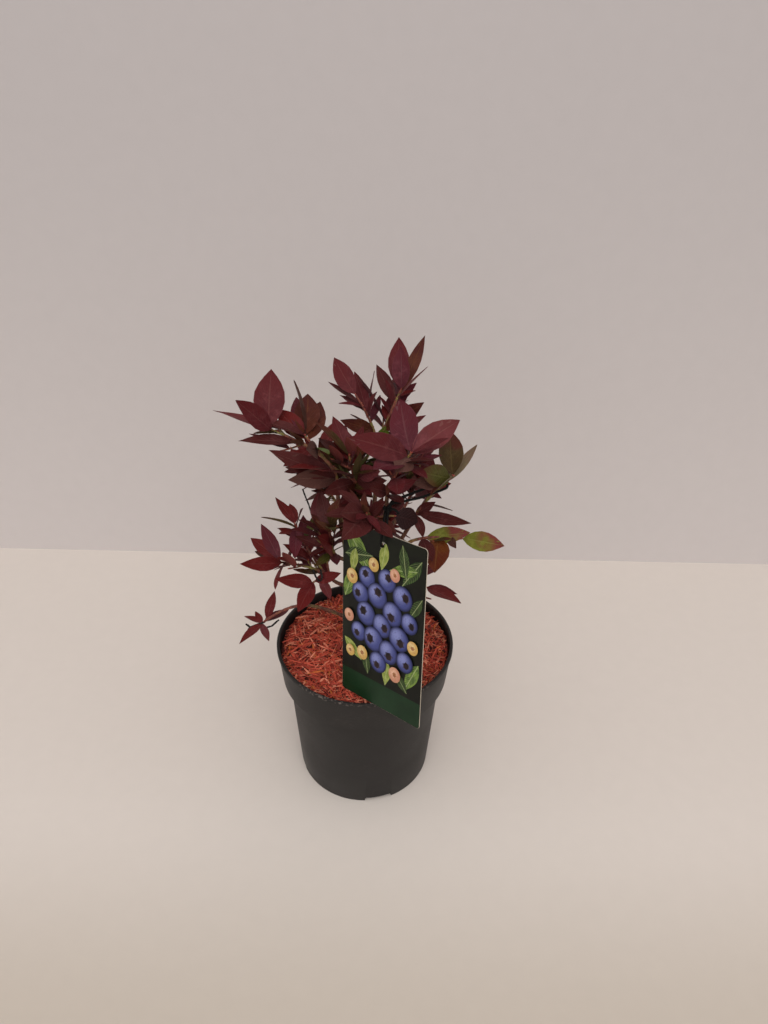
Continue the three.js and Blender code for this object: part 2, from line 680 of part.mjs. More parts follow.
function tieSolid() {
  const loop = new THREE.CatmullRomCurve3(tie.route.map(vec), true, 'centripetal');
  const frames = loop.computeFrenetFrames(tie.steps, true);
  const points = [];
  const faces = [];
  for (let i = 0; i < tie.steps; i += 1) {
    const centre = loop.getPointAt(i / tie.steps);
    points.push(...circle(centre, frames.normals[i], frames.binormals[i], tie.radius, tie.sides));
    for (let j = 0; j < tie.sides; j += 1) {
      const k = (j + 1) % tie.sides;
      const here = i * tie.sides;
      const next = ((i + 1) % tie.steps) * tie.sides;
      faces.push(here + j, here + k, next + k, here + j, next + k, next + j);
    }
  }
  return bodyOf(points, faces);
}

// ---------------------------------------------------------------- the whole part

const bush = new THREE.Group();

function addNode(name, geometry, color, roughness) {
  const mesh = new THREE.Mesh(geometry, new THREE.MeshStandardMaterial({ color, roughness, metalness: 0 }));
  mesh.name = name;
  bush.add(mesh);
  return mesh;
}

const cardMesh = addNode('label_card', cardGeometry(), colours.card, 0.4);
placeCard(cardMesh);
const basics = { pot: potSolid(), potting_mix: mixSolid(), wood_mulch: mulchSolid(), label_tie: tieSolid() };
addNode('pot', geometryOf(basics.pot), colours.plastic, 0.6);
addNode('potting_mix', geometryOf(basics.potting_mix), colours.soil, 0.95);
addNode('wood_mulch', geometryOf(basics.wood_mulch), colours.mulch, 0.85);
addNode('label_tie', geometryOf(basics.label_tie), colours.cord, 0.5);

const cardSolid = solidOf(cardMesh.geometry.clone().applyMatrix4(cardMesh.matrixWorld));
const plant = new Plant([...Object.values(basics), cardSolid]);
plant.growLimbs();
plant.growStems();
plant.growPlacedLeaves();
plant.growSideTwigs();
plant.growLeaves();
plant.fuse();

for (const [name, solid] of Object.entries(plant.solids)) {
  const color = name.startsWith('leaves_') ? colours.leaf[name.slice('leaves_'.length)] : colours.bark;
  addNode(name, geometryOf(solid), color, 0.7);
}

export default bush;
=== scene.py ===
# A young blueberry bush in its nursery pot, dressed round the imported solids.
# Growth is worked out in millimetres and made in metres. +Z is up, and the picture card is on the front, -Y.
import math
import random

import bmesh
import bpy
from mathutils import Matrix, Quaternion, Vector, noise
from mathutils.bvhtree import BVHTree


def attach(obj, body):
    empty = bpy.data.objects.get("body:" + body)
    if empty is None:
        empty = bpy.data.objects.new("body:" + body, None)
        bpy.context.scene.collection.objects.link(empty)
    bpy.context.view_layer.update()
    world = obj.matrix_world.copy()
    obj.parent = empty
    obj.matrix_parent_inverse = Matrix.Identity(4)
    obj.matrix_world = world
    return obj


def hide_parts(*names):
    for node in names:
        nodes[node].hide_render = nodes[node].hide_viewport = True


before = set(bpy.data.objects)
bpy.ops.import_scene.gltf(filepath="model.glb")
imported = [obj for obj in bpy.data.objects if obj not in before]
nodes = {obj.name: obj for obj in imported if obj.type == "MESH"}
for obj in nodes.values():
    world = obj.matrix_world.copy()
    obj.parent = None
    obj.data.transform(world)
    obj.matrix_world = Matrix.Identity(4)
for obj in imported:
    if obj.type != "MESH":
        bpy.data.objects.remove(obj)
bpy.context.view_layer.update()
mm = 0.001
upright = Vector((0, 0, 1))
print("loaded", len(nodes), "solids")


# Small tools for meshes

def mix(a, b, share):
    return a + (b - a) * share


def inScene(name, data):
    thing = bpy.data.objects.new(name, data)
    bpy.context.scene.collection.objects.link(thing)
    return thing


def shapeOf(thing):
    # the mesh that an object's modifiers or curve make; the object itself is cleared away
    bpy.context.view_layer.update()
    made = bpy.data.meshes.new_from_object(thing.evaluated_get(bpy.context.evaluated_depsgraph_get()))
    bpy.data.objects.remove(thing)
    return made


def addPiece(name, mesh, materials, replaced, sharp):
    # an edge sharper than this many degrees stays sharp
    for material in materials:
        mesh.materials.append(material)
    mesh.shade_smooth()
    mesh.set_sharp_from_angle(angle=math.radians(sharp))
    piece = inScene(name, mesh)
    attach(piece, "root")
    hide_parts(*replaced)


def meshOf(bm, name="piece", scale=mm):
    bmesh.ops.scale(bm, vec=(scale, scale, scale), verts=bm.verts)
    mesh = bpy.data.meshes.new(name)
    bm.to_mesh(mesh)
    bm.free()
    return mesh


def mapFaces(bm, place):
    # puts every face corner on the map, at the place worked out from its vertex
    layer = bm.loops.layers.uv.verify()
    for face in bm.faces:
        for corner in face.loops:
            corner[layer].uv = place(corner.vert.co)


def templateOf(bm):
    # the corners, faces and map of a small shape, for Copies
    layer = bm.loops.layers.uv.verify()
    bm.verts.index_update()
    made = dict(
        points=[v.co.copy() for v in bm.verts],
        faces=[[v.index for v in face.verts] for face in bm.faces],
        maps=[[tuple(corner[layer].uv) for corner in face.loops] for face in bm.faces],
    )
    bm.free()
    return made


class Copies:
    # Many small things in one mesh: each is a template with its corners put somewhere else.
    def __init__(self):
        self.points, self.faces, self.kinds, self.maps = [], [], [], []

    def add(self, template, points, kind=0):
        first = len(self.points)
        self.points.extend(points)
        self.faces.extend([first + i for i in face] for face in template["faces"])
        self.kinds.extend([kind] * len(template["faces"]))
        self.maps.extend(pair for corners in template["maps"] for pair in corners)

    def mesh(self, name):
        made = bpy.data.meshes.new(name)
        made.from_pydata([p * mm for p in self.points], [], self.faces)
        made.polygons.foreach_set("material_index", self.kinds)
        layer = made.uv_layers.new(name="map")
        layer.data.foreach_set("uv", [value for pair in self.maps for value in pair])
        made.update()
        return made


def tubeTemplate(steps, sides):
    # a capped tube of radius 1 from z 0 to z 1
    bm = bmesh.new()
    bmesh.ops.create_cone(bm, cap_ends=True, segments=sides, radius1=1, radius2=1, depth=1)
    bmesh.ops.translate(bm, verts=bm.verts, vec=(0, 0, 0.5))
    along = [edge for edge in bm.edges if abs(edge.verts[0].co.z - edge.verts[1].co.z) > 0.5]
    if steps > 1:
        bmesh.ops.subdivide_edges(bm, edges=along, cuts=steps - 1, use_grid_fill=True)
    bmesh.ops.recalc_face_normals(bm, faces=bm.faces)
    layer = bm.loops.layers.uv.verify()
    for face in bm.faces:
        turns = [math.atan2(corner.vert.co.y, corner.vert.co.x) / math.tau % 1 for corner in face.loops]
        wraps = max(turns) - min(turns) > 0.5 and len(turns) == 4
        for corner, turn in zip(face.loops, turns):
            corner[layer].uv = (turn + 1 if wraps and turn < 0.5 else turn, corner.vert.co.z)
    return templateOf(bm)


def spun(profile, steps):
    # a closed body from a profile of radius and height that starts and ends on the axis
    bm = bmesh.new()
    ring = [bm.verts.new((r, 0, z)) for r, z in profile]
    edges = [bm.edges.new(pair) for pair in zip(ring, ring[1:])]
    bmesh.ops.spin(bm, geom=ring + edges, cent=(0, 0, 0), axis=(0, 0, 1), angle=math.tau, steps=steps,
                   use_merge=True, use_duplicate=False)
    bmesh.ops.remove_doubles(bm, verts=bm.verts, dist=1e-4)
    bmesh.ops.recalc_face_normals(bm, faces=bm.faces)
    return bm


# Small tools for materials

def tone(code):
    # linear colour from the usual six-figure code
    parts = [int(code[i:i + 2], 16) / 255 for i in (0, 2, 4)]
    return tuple(c / 12.92 if c <= 0.04045 else ((c + 0.055) / 1.055) ** 2.4 for c in parts) + (1,)


def put(tree, kind, values=None, **settings):
    made = tree.nodes.new("ShaderNode" + kind)
    for key, value in settings.items():
        setattr(made, key, value)
    for key, value in (values or {}).items():
        if isinstance(value, bpy.types.NodeSocket):
            tree.links.new(value, made.inputs[key])
        else:
            made.inputs[key].default_value = value
    return made


def maths(tree, operation, a, b=0.0):
    return put(tree, "Math", {0: a, 1: b}, operation=operation).outputs[0]


def plus(tree, a, b):
    return maths(tree, "ADD", a, b)


def minus(tree, a, b):
    return maths(tree, "SUBTRACT", a, b)


def times(tree, a, b):
    return maths(tree, "MULTIPLY", a, b)


def places(tree):
    return put(tree, "TexCoord").outputs


def axisOf(tree, vector, axis):
    return put(tree, "SeparateXYZ", {"Vector": vector}).outputs[axis]


def scaled(tree, value, low, high):
    return put(tree, "MapRange", {"Value": value, "To Min": low, "To Max": high}).outputs[0]


def shifted(tree, colour, value, saturation=1.0, hue=0.5):
    values = {"Color": colour, "Value": value, "Saturation": saturation, "Hue": hue}
    return put(tree, "HueSaturation", values).outputs[0]


def blended(tree, share, a, b):
    return put(tree, "Mix", {0: share, 6: a, 7: b}, data_type="RGBA").outputs[2]


def stepped(tree, value, low, high):
    # 0 at the low value and 1 at the high one, smoothly
    values = {"Value": value, "From Min": low, "From Max": high}
    return put(tree, "MapRange", values, interpolation_type="SMOOTHSTEP").outputs[0]


def grain(tree, vector, scale, detail=3.0, stretch=None):
    if stretch:
        vector = put(tree, "Mapping", {"Vector": vector, "Scale": stretch}).outputs[0]
    return put(tree, "TexNoise", {"Vector": vector, "Scale": scale, "Detail": detail}).outputs["Fac"]


def newGroup(name, inputs, outputs):
    tree = bpy.data.node_groups.new(name, "ShaderNodeTree")
    for socket, kind in inputs.items():
        tree.interface.new_socket(socket, in_out="INPUT", socket_type="NodeSocket" + kind)
    for socket, kind in outputs.items():
        tree.interface.new_socket(socket, in_out="OUTPUT", socket_type="NodeSocket" + kind)
    return tree, tree.nodes.new("NodeGroupInput").outputs, tree.nodes.new("NodeGroupOutput").inputs


def newMaterial(name, roughness, gleam=0.5):
    material = bpy.data.materials.new(name)
    material.use_nodes = True
    tree = material.node_tree
    shader = tree.nodes["Principled BSDF"]
    shader.inputs["Roughness"].default_value = roughness
    shader.inputs["Specular IOR Level"].default_value = gleam
    return material, tree, shader


def finish(tree, shader, colour, height=None, depth=0.0, roughness=None):
    # the depth of the bump is in metres
    tree.links.new(colour, shader.inputs["Base Color"])
    if roughness is not None:
        tree.links.new(roughness, shader.inputs["Roughness"])
    if height is not None:
        bump = put(tree, "Bump", {"Height": height, "Distance": depth, "Strength": 1.0})
        tree.links.new(bump.outputs[0], shader.inputs["Normal"])


def mottleGroup():
    # two colours in soft patches, with a fine grain for height
    inputs = {"Vector": "Vector", "Patch": "Float", "Grain": "Float", "First": "Color", "Second": "Color"}
    tree, given, out = newGroup("mottle", inputs, {"Colour": "Color", "Height": "Float", "Patches": "Float"})
    patches = put(tree, "TexNoise", {"Vector": given["Vector"], "Scale": given["Patch"], "Detail": 4.0})
    fine = put(tree, "TexNoise", {"Vector": given["Vector"], "Scale": given["Grain"], "Detail": 3.0})
    both = plus(tree, times(tree, patches.outputs["Fac"], 0.7), times(tree, fine.outputs["Fac"], 0.3))
    share = stepped(tree, both, 0.38, 0.62)
    tree.links.new(blended(tree, share, given["First"], given["Second"]), out["Colour"])
    tree.links.new(fine.outputs["Fac"], out["Height"])
    tree.links.new(share, out["Patches"])
    return tree


mottle = mottleGroup()


def mottled(tree, vector, patch, grainScale, first, second):
    values = {"Vector": vector, "Patch": patch, "Grain": grainScale}
    values.update({"First": tone(first), "Second": tone(second)})
    return put(tree, "Group", values, node_tree=mottle).outputs


def plainMaterial(name, first, second, patch, grainScale, depth, roughness, gleam=0.5):
    material, tree, shader = newMaterial(name, roughness, gleam)
    made = mottled(tree, places(tree)["Object"], patch, grainScale, first, second)
    finish(tree, shader, made["Colour"], made["Height"], depth)
    return material


# Pot

pot = dict(
    height=159, rimRadius=85, lipWidth=3, lipHeight=3.2,
    collarBottom=120.5, collarRadius=80.7, collarTopRadius=84, collarRing=138,
    wallTop=119.2, wallTopRadius=74.8, footRadius=66.7, wall=1.3, wallRings=(40, 80, 112),
    footWidth=8, floorUnderside=5.2, floorTop=7, bossRadius=20,
    notches=4, firstNotch=-76,  # degrees from +X
    notchWidth=27, notchHeight=5, notchReach=12, notchRounding=1.6,
    drainHoles=8, drainRadius=4.5, drainCircle=40, drainDepth=8, steps=192,
)
# Shares of pale scuffs and of dust. The dust comes in over the two drops below the rim, and over the two
# distances to the front.
plasticLook = dict(
    roughness=(0.46, 0.58), scuffs=0.35, scuffWidth=0.006, dust=0.6, dustDrop=(4.5, 0.2), dustFront=(50, 78),
)
collarTop = pot["height"] - pot["lipHeight"]


def wallRadius(z):
    return mix(pot["footRadius"], pot["wallTopRadius"], z / pot["wallTop"])


def collarRadius(z):
    share = (z - pot["collarBottom"]) / (collarTop - pot["collarBottom"])
    return mix(pot["collarRadius"], pot["collarTopRadius"], share)


def plasticMaterial():
    material, tree, shader = newMaterial("dark plastic", 0.5, 0.36)
    place = places(tree)["Object"]
    made = mottled(tree, place, 14.0, 1400.0, "191716", "1f1c1b")
    lines = grain(tree, place, 90.0, 2.0, (1.0, 1.0, 14.0))
    off = maths(tree, "ABSOLUTE", minus(tree, lines, 0.5))
    scratches = stepped(tree, off, plasticLook["scuffWidth"], 0.0)
    scuffs = times(tree, scratches, stepped(tree, grain(tree, place, 30.0), 0.52, 0.66))
    colour = blended(tree, times(tree, scuffs, plasticLook["scuffs"]), made["Colour"], tone("8a8280"))
    rise = [(pot["height"] - drop) * mm for drop in plasticLook["dustDrop"]]
    high = stepped(tree, axisOf(tree, place, "Z"), *rise)
    front = stepped(tree, axisOf(tree, place, "Y"), *[-y * mm for y in plasticLook["dustFront"]])
    specks = stepped(tree, grain(tree, place, 420.0, 4.0), 0.5, 0.68)
    dust = times(tree, times(tree, high, front), specks)
    colour = blended(tree, times(tree, dust, plasticLook["dust"]), colour, tone("857a74"))
    dull = scaled(tree, made["Patches"], *plasticLook["roughness"])
    finish(tree, shader, colour, made["Height"], 0.00005, dull)
    return material


def cutShell(shell, cutters):
    # takes the cutters out of the shell and clears them away
    for cutter in cutters:
        bite = shell.modifiers.new("cut", "BOOLEAN")
        bite.object, bite.operation, bite.solver = cutter, "DIFFERENCE", "EXACT"
    made = shapeOf(shell)
    for cutter in cutters:
        bpy.data.objects.remove(cutter)
    return made


def notchCutter(turn):
    bm = bmesh.new()
    bmesh.ops.create_cube(bm, size=1)
    size = (pot["footWidth"] + pot["notchReach"], pot["notchWidth"], 2 * pot["notchHeight"])
    bmesh.ops.scale(bm, vec=size, verts=bm.verts)
    upper = [edge for edge in bm.edges if all(v.co.z > 0 for v in edge.verts)
             and abs(edge.verts[0].co.y - edge.verts[1].co.y) < 1]
    bmesh.ops.bevel(bm, geom=upper, offset=pot["notchRounding"], offset_type="OFFSET", affect="EDGES",
                    segments=4, profile=0.5, material=-1)
    place = Matrix.Rotation(turn, 4, "Z") @ Matrix.Translation((pot["footRadius"] - 2, 0, 0))
    bmesh.ops.transform(bm, matrix=place, verts=bm.verts)
    return inScene("notchCutter", meshOf(bm))


def drainCutter(turn):
    bm = bmesh.new()
    radius, depth = pot["drainRadius"], pot["drainDepth"]
    bmesh.ops.create_cone(bm, cap_ends=True, segments=32, radius1=radius, radius2=radius, depth=depth)
    place = Matrix.Rotation(turn, 4, "Z") @ Matrix.Translation((pot["drainCircle"], 0, pot["floorTop"]))
    bmesh.ops.transform(bm, matrix=place, verts=bm.verts)
    return inScene("drainCutter", meshOf(bm))


def buildPot():
    wall, under, floor, height = pot["wall"], pot["floorUnderside"], pot["floorTop"], pot["height"]
    foot, rim, lip = pot["footRadius"], pot["rimRadius"], pot["lipWidth"]
    inFoot, inRim, boss = foot - pot["footWidth"], rim - lip, pot["bossRadius"]
    wallTop, wallTopRadius = pot["wallTop"], pot["wallTopRadius"]
    collarBottom, collarFoot, collarHead = pot["collarBottom"], pot["collarRadius"], pot["collarTopRadius"]
    shelf = collarBottom + wall
    # edges are rounded over steps of less than a millimetre
    underside = [(0, 0), (boss - 0.5, 0), (boss, 0.5), (boss + 2, under - 0.4), (boss + 2.5, under)]
    ringFoot = [(inFoot - 1.5, under), (inFoot - 1.1, under - 0.5), (inFoot, 0.4), (inFoot + 0.4, 0),
                (foot - 1.2, 0), (foot - 0.35, 0.35), (foot, 1.2)]
    outside = [*[(wallRadius(z), z) for z in pot["wallRings"]], (wallTopRadius, wallTop),
               (wallTopRadius + 0.6, wallTop + 0.5), (collarFoot - 0.7, collarBottom - 0.1),
               (collarFoot, collarBottom + 0.6), (collarRadius(pot["collarRing"]), pot["collarRing"]),
               (collarHead, collarTop - 0.5), (collarHead + 0.25, collarTop - 0.2)]
    lipRound = [(rim - 0.3, collarTop), (rim, collarTop + 0.3), (rim, height - 0.9),
                (rim - 0.25, height - 0.3), (rim - 0.8, height), (inRim + 0.7, height),
                (inRim + 0.2, height - 0.25), (inRim, height - 0.8)]
    inside = [(collarHead - wall - 0.3, collarTop - 1), (collarFoot - wall, shelf),
              (wallRadius(shelf - 1) - wall, shelf - 1), (wallRadius(floor) - wall, floor + 1),
              (wallRadius(floor) - wall - 1, floor), (0, floor)]
    bm = spun([*underside, *ringFoot, *outside, *lipRound, *inside], pot["steps"])
    turns = [math.radians(pot["firstNotch"] + 360 * i / pot["notches"]) for i in range(pot["notches"])]
    cutters = [notchCutter(turn) for turn in turns]
    cutters += [drainCutter(math.tau * (i + 0.5) / pot["drainHoles"]) for i in range(pot["drainHoles"])]
    shell = cutShell(inScene("shell", meshOf(bm)), cutters)
    addPiece("pot_shell", shell, [plasticMaterial()], ["pot"], 30)


buildPot()
soil = plainMaterial("potting soil", "2a1d15", "46352a", 160.0, 900.0, 0.0012, 0.95)
nodes["potting_mix"].data.materials.clear()
nodes["potting_mix"].data.materials.append(soil)
print("pot")


# Mulch

mulch = dict(
    bottom=138.3, edge=149.2, top=152.2, seatRadius=20, reach=80.6, steps=120, rings=26,
    bedDrop=1.6, lumps=((1.5, 0.16), (0.8, 0.5)),  # height and fineness
)
# Sizes are drawn between two ends, and a bias above 1 draws more of the low end.
slivers = dict(
    count=6500, seed=77, length=(4.5, 18), lengthBias=1.8, width=(0.45, 1.7), widthBias=1.6,
    stout=(0.05, 1.5), flatness=(0.45, 0.95), sunk=1.2, lift=(0.2, 3.6), liftBias=1.5, tilt=11,
    wallAt=150, wallGap=0.4, darkShadeUpTo=0.8,
    tints=dict(salmon=0.36, brick=0.23, dark=0.17, pale=0.19, orange=0.05),
)
mulchTones = dict(
    salmon=("d85c42", "b64430"), brick=("b43e2c", "902e20"), dark=("601a12", "3e100c"),
    # the pale slivers are a paler wood tone that also stands for highlights on the strands, partly a painted
    # highlight
    pale=("f09a7c", "da7a5e"), orange=("de7c3c", "c4642c"),
)


def mulchHeight(r):
    share = min(1, max(0, (mulch["reach"] + 1 - r) / (mulch["reach"] + 1 - mulch["seatRadius"])))
    return mix(mulch["edge"], mulch["top"], math.sin(share * math.pi / 2))


def woodMaterial(name, first, second):
    material, tree, shader = newMaterial(name, 0.72)
    place = places(tree)
    fibres = grain(tree, place["UV"], 3.0, 4.0, (1.2, 14.0, 1.0))
    patches = grain(tree, place["Object"], 150.0)
    share = stepped(tree, plus(tree, times(tree, fibres, 0.6), times(tree, patches, 0.4)), 0.36, 0.62)
    finish(tree, shader, blended(tree, share, tone(first), tone(second)), fibres, 0.0003)
    return material


def sliverTemplates():
    # torn splinters: tapered, bent and ragged at the ends, along x from -0.5 to 0.5
    made = []
    shapes = ((1, 0.35, 0.1), (2, 0.7, -0.06), (3, 0.2, 0.02), (4, 0.55, 0.14), (5, 0.9, 0.0))
    for seed, taper, bend in shapes:
        rand = random.Random(seed)
        bm = bmesh.new()
        bmesh.ops.create_cube(bm, size=1)
        along = [edge for edge in bm.edges if abs(edge.verts[0].co.x - edge.verts[1].co.x) > 0.5]
        bmesh.ops.subdivide_edges(bm, edges=along, cuts=3, use_grid_fill=True)
        for v in bm.verts:
            end = abs(v.co.x) * 2
            v.co.y *= mix(1, taper, end ** 1.5)
            v.co.z *= mix(1, 0.45, end)
            v.co.y += bend * (1 - end * end) + 0.16 * (rand.random() - 0.5)
            v.co.x += 0.09 * (rand.random() - 0.5) * (end > 0.9)
        mapFaces(bm, lambda spot: (spot.x + 0.5, spot.y + 0.3 * spot.z + 0.5))
        bmesh.ops.recalc_face_normals(bm, faces=bm.faces)
        made.append(templateOf(bm))
    return made


def buildMulchBed():
    bottom, drop = mulch["bottom"], mulch["bedDrop"]
    inner = collarRadius(bottom) - pot["wall"] - 0.6
    radii = [mix(mulch["reach"] + 0.6, 0, i / mulch["rings"]) for i in range(mulch["rings"])]
    heap = [*[(r, mulchHeight(r) - drop) for r in radii], (0, mulch["top"] - drop)]
    bm = spun([(0, bottom), (inner, bottom), *heap], mulch["steps"])
    for v in bm.verts:
        if v.co.z > bottom + 1 and v.co.xy.length < mulch["reach"] - 1:
            v.co.z += sum(height * noise.noise(v.co * fineness) for height, fineness in mulch["lumps"])
    # the bed shows only in the gaps between the slivers, and its dark red-brown there is painted shade
    bed = plainMaterial("mulch bed", "44150c", "762a1c", 260.0, 900.0, 0.0016, 0.9)
    addPiece("mulch_bed", meshOf(bm), [bed], ["wood_mulch"], 40)


def buildSlivers():
    rand = random.Random(slivers["seed"])
    templates = sliverTemplates()
    tints, shares = list(slivers["tints"]), list(slivers["tints"].values())
    inner = collarRadius(slivers["wallAt"]) - pot["wall"] - slivers["wallGap"]
    often, stouter = slivers["stout"]
    copies = Copies()
    for i in range(slivers["count"]):
        length = mix(*slivers["length"], rand.random() ** slivers["lengthBias"])
        wide = mix(*slivers["width"], rand.random() ** slivers["widthBias"])
        wide *= stouter if rand.random() < often else 1
        thick = wide * mix(*slivers["flatness"], rand.random())
        r = (mulch["reach"] - 0.5) * math.sqrt(rand.random())
        spot, turn = rand.random() * math.tau, rand.random() * math.tau
        layer = rand.random()
        middle = Vector((r * math.cos(spot), r * math.sin(spot), 0))
        middle.z = mulchHeight(r) - slivers["sunk"] + mix(*slivers["lift"], layer ** slivers["liftBias"])
        tilt = rand.gauss(0, math.radians(slivers["tilt"]))
        roll = rand.random() * math.tau
        turned = Matrix.Rotation(turn, 3, "Z") @ Matrix.Rotation(tilt, 3, "Y") @ Matrix.Rotation(roll, 3, "X")
        tint = rand.choices(tints, shares)[0]
        # dark slivers are painted shade in the gaps, so they keep to the lower layers; a dark one drawn
        # higher up is made salmon
        if layer > slivers["darkShadeUpTo"] and tint == "dark":
            tint = "salmon"
        template = templates[i % len(templates)]
        points = [middle + turned @ Vector((p.x * length, p.y * wide, p.z * thick))
                  for p in template["points"]]
        if max(p.xy.length for p in points) < inner:
            copies.add(template, points, tints.index(tint))
    materials = [woodMaterial(tint + " wood", *mulchTones[tint]) for tint in tints]
    addPiece("mulch_slivers", copies.mesh("slivers"), materials, ["wood_mulch"], 35)


buildMulchBed()
buildSlivers()
print("mulch")


# Picture card

card = dict(
    width=89.4, height=164, thickness=0.7, corner=3, edge=0.12, holeRadius=2.5, holeDrop=11,
    centre=(15.7, -72.2, 242.2), yaw=-42, pitch=-9.2, roll=-7.8,  # degrees
    band=0.145, margin=0.35, ring=(0.1, 1.1), ringThickness=0.06,
)
# Sizes of what is printed, as shares of a berry's radius. Each layer of ink lies a little above the last.
prints = dict(
    ink=0.02, step=0.018, gleam=0.2, ripeTall=1.06, ripeCrown=(0.44, 0.5), crownMiddle=(0.28, 0.34),
    crownOff=0.34, unripeTall=1.12, unripeCrown=(0.36, 0.4),
)
# Places on the card in millimetres from its middle, across and up. A berry is [across, up, radius, turn].
cardBerries = [
    [-17, 38, 9.2, 120], [5, 42, 9.6, 60], [22, 32, 10.4, 20], [-24, 21, 9.4, 200], [-5, 25, 10.8, 75],
    [30, 12, 8.8, -30], [12, 14, 10.6, 250], [-17, 4, 10.6, 150], [1, -1, 10.2, -20], [20, -6, 10.8, 300],
    [-25, -16, 8.6, 230], [-8, -17, 11, 190], [9, -23, 10.4, 280], [27, -25, 9, -50], [-2, -37, 9.4, 250],
]
cardUnripe = [
    [-9, 52, 5.6, 0, "cream"], [-33, 34, 6.2, 60, "cream"], [14, 50, 5.2, 20, "pink"],
    [35, -8, 5.6, 90, "cream"], [-36, -4, 5.4, 10, "pink"], [17, -41, 6.4, 200, "pink"],
    [-20, -35, 6, 150, "cream"], [-34, -38, 5, 30, "cream"],
]
# A printed leaf is [across, up, length, width, turn, tint].
cardLeaves = [
    [-41, 77, 46, 17, -52, "fresh"], [40, 70, 34, 12, -125, "deep"], [-42, 52, 32, 13, 12, "deep"],
    [36, 60, 30, 11, -165, "fresh"], [3, 74, 26, 10, -100, "lime"], [20, 78, 30, 10, -80, "deep"],
    [-42, 12, 34, 12, 70, "fresh"], [42, 38, 26, 9, -120, "deep"], [-42, -28, 26, 10, -38, "lime"],
    [41, -22, 34, 12, -115, "fresh"], [8, -33, 24, 10, -95, "lime"], [-14, -54, 26, 9, 100, "deep"],
    [30, -54, 24, 9, 130, "deep"], [-30, 60, 24, 9, -100, "lime"],
]
printTones = dict(
    deep=("1c2e12", "2f4820"), fresh=("47602a", "76903f"), lime=("7d8c3c", "a2a95c"),
    cream=("c9a45c", "e2c890"), pink=("c48a72", "deb094"), band=("0f2a16", "16341d"),
)


def cardMatrix():
    yaw, pitch, roll = [Matrix.Rotation(math.radians(card[name]), 4, axis)
                        for name, axis in (("yaw", "Z"), ("pitch", "X"), ("roll", "Y"))]
    return Matrix.Translation(card["centre"]) @ yaw @ pitch @ roll @ Matrix.Rotation(math.pi / 2, 4, "X")


cardPlace = cardMatrix()  # across, up and out of the printed face become x, y and z of the bush


def flatShape(outlines, thickness, rounding, lift):
    # a flat plate from closed outlines, the first the edge and the others holes, in the card's own plane
    curve = bpy.data.curves.new("flat", "CURVE")
    curve.dimensions, curve.fill_mode = "2D", "BOTH"
    curve.extrude, curve.bevel_depth, curve.bevel_resolution = thickness / 2 - rounding, rounding, 2
    for outline in outlines:
        spline = curve.splines.new("POLY")
        spline.points.add(len(outline) - 1)
        for point, (x, y) in zip(spline.points, outline):
            point.co = (x, y, 0, 1)
        spline.use_cyclic_u = True
    mesh = shapeOf(inScene("flat", curve))
    mesh.transform(Matrix.Translation((0, 0, lift)))
    return mesh


def roundedOutline(left, right, low, high, corners):
    # corners are the radii at low left, low right, high right and high left
    points = []
    spots = [(left, low, 1, 1, 180), (right, low, -1, 1, 270),
             (right, high, -1, -1, 0), (left, high, 1, -1, 90)]
    for (x, y, inX, inY, start), radius in zip(spots, corners):
        for i in range(9 if radius else 1):
            angle = math.radians(start + 90 * i / 8)
            points.append((x + radius * (inX + math.cos(angle)), y + radius * (inY + math.sin(angle))))
    return points


def circleOutline(x, y, radius, count):
    return [(x + radius * math.cos(math.tau * i / count), y + radius * math.sin(math.tau * i / count))
            for i in range(count)]


def inkMaterial(name, first, second, patch=120.0):
    return plainMaterial(name, first, second, patch, 2600.0, 0.00001, 0.4, prints["gleam"])


def awayFrom(tree, place, x, y):
    return put(tree, "VectorMath", {0: place["UV"], 1: (x, y, 0.0)}, operation="DISTANCE").outputs["Value"]


def berryMaterial():
    # shaded as a round berry by its own map, with the pale bloom rubbed off in places
    material, tree, shader = newMaterial("printed berry", 0.4, prints["gleam"])
    place = places(tree)
    rubbed = stepped(tree, grain(tree, place["Object"], 700.0, 5.0), 0.52, 0.7)
    shade, rim = awayFrom(tree, place, 0.36, 0.64), awayFrom(tree, place, 0.5, 0.5)
    colour = blended(tree, stepped(tree, shade, 0.05, 0.5), tone("8289c0"), tone("444b86"))
    colour = blended(tree, stepped(tree, rim, 0.33, 0.52), colour, tone("1b1d3e"))
    colour = blended(tree, times(tree, rubbed, 0.4), colour, tone("363c6c"))
    finish(tree, shader, colour)
    return material


def paleBerryMaterial(name, first, second):
    material, tree, shader = newMaterial(name, 0.4, prints["gleam"])
    place = places(tree)
    patches = stepped(tree, grain(tree, place["Object"], 420.0), 0.45, 0.7)
    shade = stepped(tree, awayFrom(tree, place, 0.4, 0.6), 0.1, 0.52)
    colour = blended(tree, shade, tone(second), tone(first))
    finish(tree, shader, blended(tree, times(tree, patches, 0.5), colour, tone("b4784f")))
    return material


def printedLeafMaterial(name, first, second):
    material, tree, shader = newMaterial(name, 0.4, prints["gleam"])
    place = places(tree)["UV"]
    spots = put(tree, "SeparateXYZ", {"Vector": place}).outputs
    off = maths(tree, "ABSOLUTE", minus(tree, spots["Y"], 0.5))
    slant = minus(tree, spots["X"], times(tree, off, 0.7))
    veins = stepped(tree, maths(tree, "SINE", times(tree, slant, 60.0)), 0.55, 1.0)
    light = maths(tree, "MAXIMUM", stepped(tree, off, 0.05, 0.015), times(tree, veins, 0.4))
    shade = stepped(tree, grain(tree, place, 5.0), 0.4, 0.65)
    colour = blended(tree, shade, tone(first), tone(second))
    finish(tree, shader, blended(tree, times(tree, light, 0.55), colour, tone("b9c48c")))
    return material


